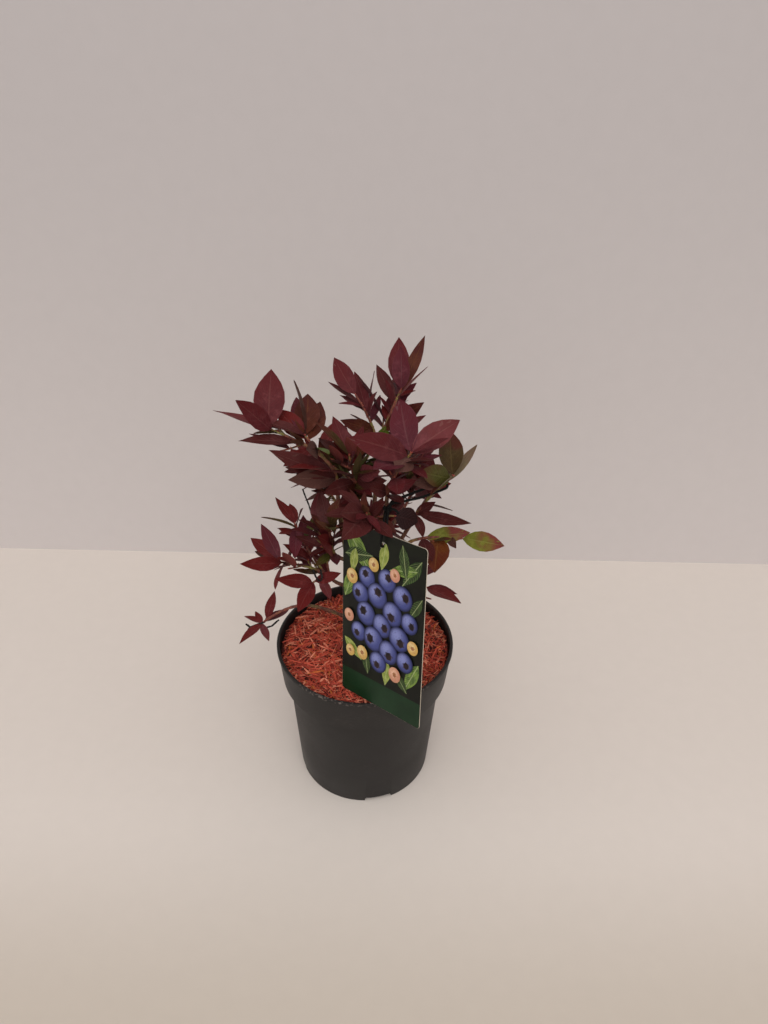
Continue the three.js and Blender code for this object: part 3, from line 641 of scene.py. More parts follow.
def inkTemplate(outline, height):
    # a thin layer of ink with its own map over -1 to 1
    bm = bmesh.new()
    face = bm.faces.new([bm.verts.new((x, y, 0)) for x, y in outline])
    made = bmesh.ops.extrude_face_region(bm, geom=[face])["geom"]
    upper = [v for v in made if isinstance(v, bmesh.types.BMVert)]
    bmesh.ops.translate(bm, verts=upper, vec=(0, 0, height))
    bmesh.ops.recalc_face_normals(bm, faces=bm.faces)
    mapFaces(bm, lambda spot: (spot.x / 2 + 0.5, spot.y / 2 + 0.5))
    return templateOf(bm)


def leafOutline(count):
    # a pointed leaf from x -1 to x 1, with half its width 1
    ends = [(2 * i / count - 1, math.sin(math.pi * (i / count) ** 0.8) ** 1.1) for i in range(1, count)]
    return [(-1, 0), *[(x, -y) for x, y in ends], (1, 0), *[(x, y) for x, y in reversed(ends)]]


def starOutline(points, inner):
    made = []
    for i in range(2 * points):
        radius, angle = 1 if i % 2 else inner, math.pi * i / points
        made.append((radius * math.cos(angle), radius * math.sin(angle)))
    return made


def addToCard(name, mesh, materials):
    addPiece(name, mesh, materials, ["label_card"], 30)


def buildCard():
    x, y, corner = card["width"] / 2, card["height"] / 2, card["corner"]
    face, hole, holeY = card["thickness"] / 2, card["holeRadius"], y - card["holeDrop"]
    plate = flatShape([roundedOutline(-x, x, -y, y, [corner] * 4), circleOutline(0, holeY, hole, 32)],
                      card["thickness"], card["edge"], 0)
    for polygon in plate.polygons:
        polygon.material_index = 0 if polygon.normal.z > 0.99 else (2 if polygon.normal.z < -0.99 else 1)
    margin, ink = card["margin"], prints["ink"]
    low, high = -y + margin, -y + card["band"] * card["height"]
    band = flatShape([roundedOutline(-x + margin, x - margin, low, high, [corner - 0.3, corner - 0.3, 0, 0])],
                     ink, 0, face + ink / 2)
    inner, outer = [circleOutline(0, holeY, hole + wider, 40) for wider in card["ring"]]
    ring = flatShape([outer, inner], card["ringThickness"], 0.01, face + card["ringThickness"] / 2)
    for mesh in (plate, band, ring):
        mesh.transform(Matrix.Scale(mm, 4) @ cardPlace)
    darkPrint = inkMaterial("printed shade", "080a06", "10150a", 55.0)
    edge = plainMaterial("card edge", "cbbfae", "b8ad9c", 200.0, 2000.0, 0.00001, 0.5)
    back = plainMaterial("card back", "d9d4c8", "cfc9bc", 60.0, 2000.0, 0.00002, 0.4)
    addToCard("card_plate", plate, [darkPrint, edge, back])
    addToCard("card_band", band, [inkMaterial("printed band", *printTones["band"], 40.0)])
    holeRing = plainMaterial("hole ring", "8b8b7d", "a3a294", 300.0, 2000.0, 0.00001, 0.4)
    addToCard("card_ring", ring, [holeRing])


def buildPrint():
    # leaves first, then the ripe berries and the unripe ones, each a little above the one before
    leafTints, unripeTints = ["deep", "fresh", "lime"], ["cream", "pink"]
    leaves, berries, crowns = Copies(), Copies(), Copies()
    disc, star, blade = [inkTemplate(outline, prints["ink"]) for outline in (
        circleOutline(0, 0, 1, 36), starOutline(6, 0.72), leafOutline(16))]
    lift = card["thickness"] / 2

    def lay(copies, template, place, width, height, turn, kind):
        nonlocal lift
        lift += prints["step"]
        turned = Matrix.Rotation(math.radians(turn), 3, "Z")
        points = [turned @ Vector((p.x * width, p.y * height, p.z)) + Vector((*place, lift))
                  for p in template["points"]]
        copies.add(template, [cardPlace @ p for p in points], kind)

    for x, y, length, width, turn, tint in cardLeaves:
        middle = Vector((x, y)) + Matrix.Rotation(math.radians(turn), 2) @ Vector((length / 2, 0))
        lay(leaves, blade, middle, length / 2, width / 2, turn, leafTints.index(tint))
    for x, y, radius, turn in cardBerries:
        lay(berries, disc, (x, y), radius, prints["ripeTall"] * radius, 0, 0)
        off = Vector((prints["crownOff"] * radius, 0))
        spot = Vector((x, y)) + Matrix.Rotation(math.radians(turn), 2) @ off
        lay(crowns, star, spot, *[share * radius for share in prints["ripeCrown"]], turn, 0)
        lay(crowns, disc, spot, *[share * radius for share in prints["crownMiddle"]], 0, 1)
    for x, y, radius, turn, tint in cardUnripe:
        lay(berries, disc, (x, y), radius, prints["unripeTall"] * radius, 0, 1 + unripeTints.index(tint))
        lay(crowns, star, (x, y), *[share * radius for share in prints["unripeCrown"]], turn, 2)

    leafInks = [printedLeafMaterial("printed " + tint, *printTones[tint]) for tint in leafTints]
    unripeInks = [paleBerryMaterial("printed " + tint, *printTones[tint]) for tint in unripeTints]
    crownInks = [inkMaterial("printed crown", "35304a", "54506e", 500.0),
                 inkMaterial("printed crown middle", "120c12", "2c1e22"),
                 inkMaterial("printed pale crown", "a9764f", "8c5a3e", 500.0)]
    addToCard("card_leaves", leaves.mesh("leaves"), leafInks)
    addToCard("card_berries", berries.mesh("berries"), [berryMaterial(), *unripeInks])
    addToCard("card_crowns", crowns.mesh("crowns"), crownInks)


buildCard()
buildPrint()
print("card")


# Limbs, as in the solids

trunk = dict(foot=(0, 6, 152.5), top=(-2, 4, 188), bend=(1.5, 0, 0), radii=(6.2, 4.8), flare=3.2, fade=7)
leafShape = dict(width=0.41, droop=0.1, fold=0.2, thickness=0.014, widest=0.4, shoulder=0.72, stalkWidth=1.3)
# A twig or leaf that would point further down than its dip is turned on round its stem.
growth = dict(
    turn=137.5, spacing=9.5, lean=(70, 28), length=(30, 42), leafSpan=0.8, leafTurn=50, leafDip=-0.45,
    twigLength=(16, 30), twigLean=55, twigFrom=0.25, twigSpan=0.6, twigLift=0.15, twigShare=0.7, twigTip=0.7,
    twigDip=-0.3, tries=7, step=50, gap=0.3, sink=0.8,
)
fineGrowth = dict(
    spurSpacing=10, spurLength=(6, 14), spurLean=50, spurLeaves=3, leafSpacing=8, leafLength=(15, 30),
)
gap = growth["gap"]


def squareTo(direction):
    # the unit vector square to a direction that points up most,
    # or to the front where the direction itself is upright
    best = Vector((0, -1, 0.3)) if abs(direction.z) > 0.985 else upright.copy()
    return (best - best.dot(direction) * direction).normalized()


class Body:
    # a small closed solid, for finding what it crosses
    def __init__(self, points, faces):
        self.tree = BVHTree.FromPolygons(points, faces)
        self.low = [min(p[i] for p in points) for i in range(3)]
        self.high = [max(p[i] for p in points) for i in range(3)]


def loft(rings, tip=None):
    count = len(rings[0])
    points = [p for ring in rings for p in ring]
    faces = []
    for i in range(len(rings) - 1):
        for j in range(count):
            a, b = i * count + j, i * count + (j + 1) % count
            faces.append((a, b, b + count, a + count))
    last = (len(rings) - 1) * count
    faces.append(tuple(reversed(range(count))))
    if tip is not None:
        points.append(tip)
        faces.extend((last + j, last + (j + 1) % count, len(points) - 1) for j in range(count))
    else:
        faces.append(tuple(range(last, last + count)))
    return Body(points, faces)


def crosses(body, others):
    for other in others:
        if all(body.low[i] <= other.high[i] and other.low[i] <= body.high[i] for i in range(3)):
            if body.tree.overlap(other.tree):
                return True
    return False


class Limb:
    def __init__(self, start, end, control, radii, flare=0):
        self.start, self.end, self.control = start, end, control
        self.radii, self.flare = radii, flare
        marks = [self.at(i / 200) for i in range(201)]
        self.length = sum((b - a).length for a, b in zip(marks, marks[1:]))

    def at(self, t):
        return self.start * (1 - t) ** 2 + self.control * 2 * t * (1 - t) + self.end * t * t

    def direction(self, t):
        return mix(self.control - self.start, self.end - self.control, t).normalized()

    def radius(self, t):
        return mix(*self.radii, t) + self.flare * math.exp(-t * self.length / trunk["fade"])

    def rings(self, steps):
        # middle, direction and two square directions at each step
        side = squareTo(self.direction(0))
        made = []
        for i in range(steps + 1):
            t = i / steps
            along = self.direction(t)
            side = (side - side.dot(along) * along).normalized()
            made.append((self.at(t), along, side, along.cross(side)))
        return made

    def body(self, sides, steps, extra=0.0):
        made = []
        for i, (middle, _, side, across) in enumerate(self.rings(steps)):
            radius = self.radius(i / steps) + extra
            angles = [math.tau * j / sides for j in range(sides)]
            made.append([middle + radius * (math.cos(a) * side + math.sin(a) * across) for a in angles])
        return loft(made)


def twigLimb(start, direction, end, radii):
    # leaves in one direction and bends over to its end
    return Limb(start, end, start + direction * 0.4 * (end - start).length, radii)


def heading(azimuth, rise):
    a, r = math.radians(azimuth), math.radians(rise)
    return Vector((math.cos(a) * math.cos(r), math.sin(a) * math.cos(r), math.sin(r)))


def leaning(axis, azimuth, lean):
    # a direction that leans out from an axis, at an angle round it
    out = axis.cross(upright)
    if out.length < 0.15:
        out = Vector((1, 0, 0)) - axis * axis.x
    out = Quaternion(axis, math.radians(azimuth)) @ out.normalized()
    return axis * math.cos(math.radians(lean)) + out * math.sin(math.radians(lean))


def outline(u):
    return 0 if u <= 0.05 else math.sin(math.pi * ((u - 0.05) / 0.95) ** 0.85) ** 0.85


class Leaf:
    def __init__(self, root, direction, length, turn, tint=None, width=None):
        self.root = root - direction * growth["sink"]
        self.direction, self.length, self.tint, self.width = direction, length, tint, width
        self.face = Quaternion(direction, math.radians(turn)) @ squareTo(direction)
        self.side = direction.cross(self.face)

    def rib(self, u, droop=leafShape["droop"]):
        return self.root + self.direction * self.length * u - self.face * droop * self.length * u * u

    def body(self, start, grow):
        rings = []
        for u in (start, leafShape["widest"], leafShape["shoulder"]):
            blade = leafShape["width"] * self.length * outline(u)
            half = max(0.5 * leafShape["stalkWidth"], 0.5 * blade) + grow
            lift = leafShape["fold"] * half + grow
            rib = self.rib(u)
            rings.append([rib + self.side * half + self.face * lift,
                          rib - self.face * (leafShape["thickness"] * self.length + grow),
                          rib - self.side * half + self.face * lift])
        return loft(rings, self.rib(1 + grow / self.length))


# Masses of foliage. A bough leaves its parent limb at `start` and ends at `tip`, and the mass's stem goes
# on to `to`. The mass keeps to the ellipsoid of `centre` and `reach`. A leaf is [place along its twig,
# heading, rise, length, turn about its midrib, tint], and may end with its width as a share of its length.
# Growth by rule adds `twigs` side twigs and more leaves, in the tints of the mass and within the share
# `keep` of its reach. `fine` is how thickly small sprays then fill it.
masses = [
    dict(
        name="left_high", start=("trunk", 0.92), tip=(-24, -5, 338), bend=(-10, -2, 14), radii=(2.8, 1.7),
        to=(-80, 6, 381), centre=(-70, 0, 384), reach=(70, 72, 60), keep=0.5, twigs=2, fine=0.3,
        tints=["burgundy", "maroon", "rose", "bronze"],
        leaves=[
            [1, 95, 35, 58, 10, "burgundy", 0.45], [0.97, 225, 48, 50, -75, "burgundy", 0.36],
            [0.93, 170, 20, 56, 0, "rose", 0.2], [0.93, 215, 15, 24, 20, "olive"],
            [0.72, 200, 15, 52, 0, "maroon", 0.3], [0.12, 210, 30, 66, -70, "maroon", 0.24],
            [0.2, 225, 28, 56, 0, "crimson", 0.34], [0.62, 220, -20, 28, -50, "crimson"],
            [0.05, 230, 30, 38, -80, "maroon"], [0.07, 230, 25, 54, -70, "mauve", 0.32],
        ],
        shoots=[dict(at=0.35, to=(-50, 3, 377), leaves=[
            [0.9, 135, 15, 44, -40, "crimson"], [1, 105, 17, 50, 0, "purple"],
            [1, 88, 20, 50, 0, "bronze", 0.44], [0.85, 78, 25, 46, 20, "bronze"],
            [0.95, 100, 38, 54, 70, "brown", 0.24], [0.5, 255, 30, 30, -75, "mauve", 0.5],
            [0.6, 310, 15, 24, -20, "fresh"],
        ])],
    ),
    dict(
        name="top", start=("trunk", 0.97), tip=(9, 27, 340), bend=(3, 10, 10), radii=(2.8, 1.7),
        to=(28, 40, 403), centre=(14, 52, 400), reach=(62, 66, 62), keep=0.66, twigs=2, fine=0.6,
        tints=["burgundy", "purple", "crimson"],
        leaves=[
            [1, 100, 40, 52, -10, "burgundy", 0.36], [0.97, 55, 45, 56, 30, "bronze", 0.2],
            [0.9, 335, 55, 44, 0, "rose", 0.18], [0.85, 115, 25, 46, -30, "maroon", 0.26],
            [0.6, 125, 35, 50, 60, "purple", 0.32], [0.5, 325, 45, 50, 80, "bronze", 0.32],
            [0.22, 20, 40, 50, 0, "rose", 0.36],
        ],
        shoots=[dict(at=0.2, to=(-10, 38, 398), leaves=[
            [1, 130, 30, 42, -40, "burgundy", 0.4], [0.86, 150, 20, 38, 0, "maroon", 0.2],
            [0.82, 195, 20, 22, 0, "burgundy", 0.3], [0.68, 105, 30, 50, -10, "burgundy", 0.24],
            [0.66, 85, 35, 48, -70, "purple", 0.2], [0.64, 285, 70, 34, 80, "burgundy", 0.3],
            [0.55, 70, 30, 30, 0, "purple", 0.24], [0.45, 180, 35, 24, 20, "maroon"],
            [0.4, 220, 30, 40, -80, "bronze", 0.3], [0.1, 350, 65, 22, 80, "fresh", 0.5],
        ])],
    ),
    dict(
        name="front", start=("trunk", 0.9), tip=(18, -25, 338), bend=(6, -8, 10), radii=(2.8, 1.7),
        to=(36, -26, 379), centre=(30, -34, 380), reach=(68, 72, 60), keep=0.7, twigs=2, fine=0.6,
        tints=["burgundy", "purple", "maroon", "olive"],
        leaves=[
            [1, 105, 25, 60, -20, "purple", 0.4], [0.97, 42, 20, 57, 40, "rose", 0.37],
            [0.95, 220, 35, 66, -80, "burgundy", 0.32], [0.93, 245, 0, 24, -30, "mauve", 0.78],
            [0.8, 236, 24, 46, 0, "purple"], [0.8, 320, 30, 34, 0, "maroon"],
            [0.45, 112, 30, 40, 0, "burgundy"], [0.1, 235, 35, 28, -80, "maroon"],
            [0.12, 335, 35, 30, 70, "burgundy"], [0.04, 295, 20, 30, 0, "maroon"],
        ],
        shoots=[],
    ),
    dict(
        name="centre", start=("left_high", 0.45), tip=(-8, -4, 326), bend=(6, 0, 8), radii=(2, 1.5),
        to=(-14, -1, 362), centre=(-14, -2, 362), reach=(48, 56, 60), keep=0.8, twigs=2, fine=2,
        tints=["maroon", "burgundy", "olive", "moss", "bronze", "crimson"],
        leaves=[
            [1, 120, 40, 38, 0, "burgundy"], [0.9, 150, 18, 36, 0, "maroon"],
            [0.8, 275, 45, 34, 70, "purple"], [0.5, 232, 38, 36, 0, "maroon"],
            [0.6, 320, 32, 30, 0, "olive"], [0.9, 60, 45, 32, 0, "burgundy"],
            [0.06, 255, -5, 36, -30, "maroon", 0.5], [0.35, 230, 15, 38, -60, "maroon"],
            [0.2, 295, 20, 34, 0, "burgundy"], [0.03, 255, 40, 30, -80, "bronze"],
            [0.03, 300, 25, 26, 60, "olive"], [0.05, 320, 40, 34, 80, "maroon"],
            [0.04, 250, 20, 32, -60, "burgundy"],
        ],
        shoots=[dict(at=0.3, to=(6, 4, 366), leaves=[
            [0.3, 310, 35, 30, 80, "rose", 0.5], [0.12, 320, 20, 36, 70, "maroon"],
            [0.05, 300, 0, 26, 40, "olive"], [0.12, 295, 75, 38, 0, "olive", 0.22],
            [0.3, 325, 70, 30, 0, "moss", 0.24],
        ])],
    ),
    dict(
        name="right", start=("front", 0.35), tip=(42, -14, 312), bend=(6, 2, 4), radii=(2.1, 1.5),
        to=(72, -9, 349), centre=(64, -8, 346), reach=(62, 56, 54), keep=0.5, twigs=0, fine=0.1,
        tints=["burgundy", "maroon", "moss", "olive"],
        leaves=[
            [1, 97, 30, 46, -10, "olive", 0.46], [0.96, 220, 25, 38, -65, "moss", 0.5],
            [0.92, 210, 10, 36, -60, "mauve", 0.4], [1, 232, 0, 34, 40, "olive"],
            [0.85, 50, 20, 52, 40, "greyGreen", 0.17], [0.35, 340, 5, 26, -30, "brown", 0.22],
            [0.08, 315, 15, 58, 60, "maroon", 0.18], [0.02, 335, 50, 26, 80, "maroon"],
            [0.02, 285, -10, 28, 0, "maroon"],
        ],
        shoots=[dict(at=0.25, to=(62, 12, 334), leaves=[
            [0.3, 105, -5, 28, -30, "burgundy"],
        ])],
    ),
    dict(
        name="right_low", start=("right", 0.4), tip=(34, -26, 290), bend=(2, -6, 4), radii=(1.9, 1.4),
        to=(82, -20, 294), centre=(78, -28, 288), reach=(58, 44, 36), keep=0.55, twigs=1, fine=0.15,
        tints=["maroon", "olive", "burgundy"],
        leaves=[
            [0.5, 10, 5, 40, 50, "turning", 0.36], [1, 15, -15, 44, 60, "turning", 0.4],
            [0.85, 285, 5, 18, 30, "mauve", 0.4], [0.7, 265, -20, 36, 0, "orange", 0.6],
            [0.45, 280, 0, 32, 0, "maroon"],
        ],
        shoots=[],
    ),
    dict(
        name="left_low", start=("left_high", 0.2), tip=(-30, -6, 236), bend=(-6, -2, 0), radii=(2.1, 1.5),
        to=(-76, -6, 254), centre=(-68, 0, 266), reach=(64, 64, 68), keep=0.62, twigs=2, fine=0.6,
        tints=["crimson", "burgundy", "olive", "purple"],
        leaves=[
            [1, 120, 25, 46, -20, "purple", 0.28], [1, 138, 18, 40, 0, "crimson"],
            [0.97, 220, 20, 44, -60, "crimson", 0.3], [0.9, 85, 15, 26, -70, "burgundy"],
            [0.95, 255, -15, 30, 60, "crimson"],
        ],
        shoots=[
            dict(at=0.18, to=(-62, 0, 292), leaves=[
                [1, 125, 20, 34, 0, "crimson", 0.3], [1, 102, 12, 28, 0, "crimson", 0.34],
                [0.97, 82, 10, 26, -70, "rose"], [0.95, 210, 40, 38, 10, "olive", 0.26],
                [0.9, 215, 15, 20, 0, "crimson"], [0.75, 52, 36, 50, 0, "moss", 0.22],
                [0.95, 275, -12, 36, 0, "purple"],
            ]),
            dict(at=0.1, to=(-47, -13, 237), leaves=[
                [1, 220, 35, 42, -70, "crimson", 0.32], [0.95, 250, -5, 36, -20, "crimson"],
                [0.6, 300, -15, 26, 0, "rose"], [0.9, 350, 30, 28, 60, "crimson"],
            ]),
            dict(at=0.06, to=(-33, 2, 276), leaves=[]),
        ],
    ),
    dict(
        name="middle", start=("left_high", 0.4), tip=(-26, -12, 268), bend=(-3, -3, 2), radii=(2, 1.5),
        to=(-30, -16, 302), centre=(-32, -12, 286), reach=(42, 42, 52), keep=0.96, twigs=3, fine=1.6,
        tints=["maroon", "crimson", "burgundy", "olive", "bronze", "moss"],
        leaves=[
            [0.9, 115, 45, 36, -20, "maroon"], [1, 330, 75, 32, 80, "olive"],
            [0.5, 255, 45, 34, -80, "crimson"], [0.3, 245, 60, 34, -80, "burgundy"],
            [0.15, 255, 45, 30, -80, "crimson"], [0.05, 275, 15, 24, 0, "purple"],
        ],
        shoots=[dict(at=0.15, to=(-46, -8, 284), leaves=[])],
    ),
    dict(
        name="left_foot", start=("trunk", 0.45), tip=(-54, -8, 206), bend=(-6, 0, 12), radii=(1.9, 1.4),
        to=(-96, -14, 188), centre=(-94, -14, 190), reach=(42, 46, 30), keep=0.74, twigs=0, fine=0,
        tints=["crimson"],
        leaves=[
            [0.9, 85, 10, 38, 0, "crimson", 0.26], [0.95, 48, -10, 34, 0, "burgundy"],
            [1, 245, 8, 34, 0, "crimson", 0.28], [1, 290, 0, 24, 0, "rose", 0.32],
            [0.98, 165, 10, 20, 0, "crimson"], [1, 120, 15, 16, 0, "crimson"],
        ],
        shoots=[],
    ),
    dict(
        name="front_low", start=("front", 0.62), tip=(8, -36, 318), bend=(-2, -3, 2), radii=(1.7, 1.4),
        to=(0, -50, 340), centre=(4, -58, 334), reach=(56, 56, 46), keep=0.74, twigs=1, fine=1.3,
        tints=["maroon", "burgundy", "maroon", "bronze"],
        leaves=[
            [1, 245, 25, 40, -60, "maroon"], [0.9, 255, 10, 50, -30, "maroon", 0.46],
            [0.7, 200, 14, 38, 0, "maroon"], [0.6, 300, 55, 30, 80, "maroon"],
        ],
        shoots=[dict(at=0.3, to=(24, -44, 332), leaves=[
            # this leaf is coloured near black, a painted shade for a leaf hanging in shadow
            [1, 35, -30, 32, 70, "dusk", 0.6], [0.7, 55, 15, 28, 0, "maroon"],
        ])],
    ),
    dict(
        name="right_foot", start=("trunk", 0.55), tip=(30, -2, 212), bend=(4, 0, -3), radii=(1.8, 1.3),
        to=(56, 0, 224), centre=(50, 6, 224), reach=(58, 52, 34), keep=0.66, twigs=1, fine=0,
        tints=["crimson", "burgundy"],
        leaves=[[1, 320, 8, 40, 0, "crimson"], [0.6, 110, 20, 34, 0, "burgundy"]],
        shoots=[dict(at=0.4, to=(46, 26, 232), leaves=[])],
    ),
    dict(
        name="back_left", start=("top", 0.45), tip=(-26, 42, 285), bend=(-2, 4, 2), radii=(2.1, 1.5),
        to=(-44, 64, 322), centre=(-38, 72, 312), reach=(54, 56, 52), keep=0.8, twigs=2, fine=1.8,
        tints=["burgundy", "crimson", "maroon", "bronze"],
        leaves=[],
        shoots=[dict(at=0.3, to=(-20, 78, 316), leaves=[]), dict(at=0.5, to=(-62, 50, 310), leaves=[])],
    ),
    dict(
        name="back_right", start=("top", 0.4), tip=(34, 44, 282), bend=(4, 2, 0), radii=(2.1, 1.5),
        to=(48, 66, 318), centre=(46, 72, 308), reach=(52, 56, 50), keep=0.8, twigs=2, fine=1.8,
        tints=["burgundy", "purple", "olive", "crimson"],
        leaves=[],
        shoots=[dict(at=0.3, to=(62, 50, 306), leaves=[]), dict(at=0.45, to=(28, 84, 314), leaves=[])],
    ),
    dict(
        name="back_low", start=("trunk", 0.7), tip=(4, 56, 222), bend=(0, 6, -4), radii=(2, 1.4),
        to=(8, 88, 246), centre=(6, 86, 238), reach=(60, 46, 42), keep=0.8, twigs=1, fine=1.6,
        tints=["crimson", "burgundy", "purple"],
        leaves=[],
        shoots=[dict(at=0.3, to=(-24, 84, 238), leaves=[]), dict(at=0.4, to=(34, 82, 240), leaves=[])],
    ),
]


def seeded(seed):
    # the solids' own row of numbers from 0 to 1
    state = seed
    while True:
        state = state * 16807 % 2147483647
        yield state / 2147483647


def solidBody(name):
    mesh = nodes[name].data
    return Body([v.co / mm for v in mesh.vertices], [tuple(p.vertices) for p in mesh.polygons])


class Group:
    def __init__(self, mass, seed):
        row = seeded(seed)
        self.mass, self.rand = mass, lambda: next(row)
        self.twigs, self.twigBodies, self.leaves, self.leafBodies, self.blades = [], [], [], [], []


class Plant:
    def __init__(self, obstacles):
        self.limbs = {}
        self.fixed = obstacles
        self.groups = [Group(mass, 101 + 37 * i) for i, mass in enumerate(masses)]

    def growLimbs(self):
        foot, top = Vector(trunk["foot"]), Vector(trunk["top"])
        stem = Limb(foot, top, (foot + top) / 2 + Vector(trunk["bend"]), trunk["radii"], trunk["flare"])
        self.limbs["trunk"] = stem
        self.fixed.append(stem.body(10, 5, gap))
        for mass in masses:
            parent, at = mass["start"]
            start, tip = self.limbs[parent].at(at), Vector(mass["tip"])
            limb = Limb(start, tip, (start + tip) / 2 + Vector(mass["bend"]), mass["radii"])
            self.limbs[mass["name"]] = limb
            self.fixed.append(limb.body(6, 6, gap))

    def growStems(self):
        for group in self.groups:
            mass = group.mass
            bough = self.limbs[mass["name"]]
            way = bough.direction(1)
            root = bough.at(1) + way * 1.5 * gap
            stem = twigLimb(root, way, Vector(mass["to"]), (0.95 * mass["radii"][1], 1))
            self.addTwig(group, stem, mass["leaves"])
            for shoot in mass["shoots"]:
                root, end = stem.at(shoot["at"]), Vector(shoot["to"])
                lead = ((end - root).normalized() + stem.direction(shoot["at"])).normalized()
                limb = twigLimb(root, lead, end, (0.8 * stem.radius(shoot["at"]), 0.8))
                self.addTwig(group, limb, shoot["leaves"])

    def addTwig(self, group, limb, leaves):
        group.twigs.append((limb, leaves))
        group.twigBodies.append(limb.body(3 if len(group.twigs) > 1 else 4, 4))

    def othersOf(self, group):
        # everything but a mass's own twigs and leaves
        made = list(self.fixed)
        for other in self.groups:
            if other is not group:
                made += other.twigBodies + other.leafBodies
        return made

    def inside(self, mass, points, limit):
        centre, reach = mass["centre"], mass["reach"]
        return all(math.hypot(*[(p[i] - centre[i]) / reach[i] for i in range(3)]) <= limit for p in points)

    def addLeaf(self, group, leaf, placed=False):
        # a placed leaf may fuse with its own mass; one grown by rule keeps its blade clear of it
        limit = 1 if placed else group.mass["keep"]
        if not self.inside(group.mass, [leaf.rib(0.4), leaf.rib(0.7), leaf.rib(1)], limit):
            return False
        blade = leaf.body(0.3, gap)
        if not placed and (crosses(blade, group.blades) or crosses(blade, group.twigBodies)):
            return False
        if crosses(leaf.body(0, gap), self.othersOf(group)):
            return False
        group.blades.append(blade)
        group.leafBodies.append(leaf.body(0, 0))
        group.leaves.append(leaf)
        return True

    def growPlacedLeaves(self):
        for group in self.groups:
            for limb, leaves in group.twigs:
                for along, azimuth, rise, *looks in leaves:
                    self.addLeaf(group, Leaf(limb.at(along), heading(azimuth, rise), *looks), True)

    def growSideTwigs(self):
        for group in self.groups:
            mass, stem = group.mass, group.twigs[0][0]
            first = 360 * group.rand()
            for i in range(mass["twigs"]):
                t = growth["twigFrom"] + growth["twigSpan"] * (i + 0.5) / mass["twigs"]
                length = mix(*growth["twigLength"], group.rand())
                self.addSideTwig(group, stem, t, first + growth["turn"] * i, length, growth["twigLean"])

    def addSideTwig(self, group, stem, t, azimuth, length, lean):
        for tried in range(growth["tries"]):
            way = leaning(stem.direction(t), azimuth + growth["step"] * tried, lean)
            end = stem.at(t) + way * length + Vector((0, 0, growth["twigLift"] * length))
            limb = twigLimb(stem.at(t), way, end, (growth["twigShare"] * stem.radius(t), growth["twigTip"]))
            if way.z > growth["twigDip"] and self.fits(group, limb):
                self.addTwig(group, limb, [])
                return limb
        return None

    def fits(self, group, limb):
        if not self.inside(group.mass, [limb.at(1)], group.mass["keep"]):
            return False
        body = limb.body(4, 4, gap)
        own = group.blades + group.twigBodies[1:]
        return not crosses(body, own) and not crosses(body, self.othersOf(group))

    def growLeaves(self):
        for group in self.groups:
            for limb, leaves in group.twigs:
                count = max(1, math.floor(limb.length / growth["spacing"] + 0.5) - len(leaves))
                first = 360 * group.rand()
                for i in range(count):
                    azimuth = first + growth["turn"] * i
                    t = 1 - growth["leafSpan"] * i / count
                    self.growLeaf(group, limb, t, azimuth, growth["length"])

    def growLeaf(self, group, limb, t, azimuth, lengths):
        lean = mix(*growth["lean"], t)
        length = mix(*lengths, group.rand()) * (0.8 + 0.2 * t)
        turn = growth["leafTurn"] * (group.rand() - 0.5)
        for tried in range(growth["tries"]):
            way = leaning(limb.direction(t), azimuth + growth["step"] * tried, lean)
            if way.z > growth["leafDip"] and self.addLeaf(group, Leaf(limb.at(t), way, length, turn)):
                return

    def growFine(self):
        # goes finer than the solids do: short spurs with small leaves, and leaves between the large ones
        for group in self.groups:
            for limb, _ in list(group.twigs):
                amount = group.mass["fine"] * limb.length
                first = 360 * group.rand()
                self.growSpurs(group, limb, math.floor(amount / fineGrowth["spurSpacing"] + 0.5), first)
                between = math.floor(amount / fineGrowth["leafSpacing"] + 0.5)
                for i in range(between):
                    azimuth = first + 70 + growth["turn"] * i
                    self.growLeaf(group, limb, 0.1 + 0.88 * i / between, azimuth, fineGrowth["leafLength"])

    def growSpurs(self, group, limb, count, first):
        for i in range(count):
            t = 0.15 + 0.8 * (i + group.rand()) / count
            length, azimuth = mix(*fineGrowth["spurLength"], group.rand()), first + growth["turn"] * i
            spur = self.addSideTwig(group, limb, t, azimuth, length, fineGrowth["spurLean"])
            leaves = fineGrowth["spurLeaves"] if spur else 0
            for j in range(leaves):
                azimuth = first + growth["turn"] * j
                self.growLeaf(group, spur, 1 - 0.75 * j / leaves, azimuth, fineGrowth["leafLength"])


plant = Plant([solidBody(name) for name in ("pot", "potting_mix", "wood_mulch", "label_tie", "label_card")])
plant.growLimbs()
plant.growStems()
plant.growPlacedLeaves()
plant.growSideTwigs()
plant.growLeaves()
print("grown as the solids:", {g.mass["name"]: (len(g.leaves), len(g.twigs)) for g in plant.groups})
plant.growFine()
print("grown finer:", sum(len(g.leaves) for g in plant.groups), "leaves,",
      sum(len(g.twigs) for g in plant.groups), "twigs")


# Bark

barkLook = dict(
    sides=16, step=2.2, trunkSides=28, trunkStep=1.1, relief=0.07, lobes=0.07,
    scar=0.3, scarLength=1.1, scarSpacing=11, overlap=1.5,
)


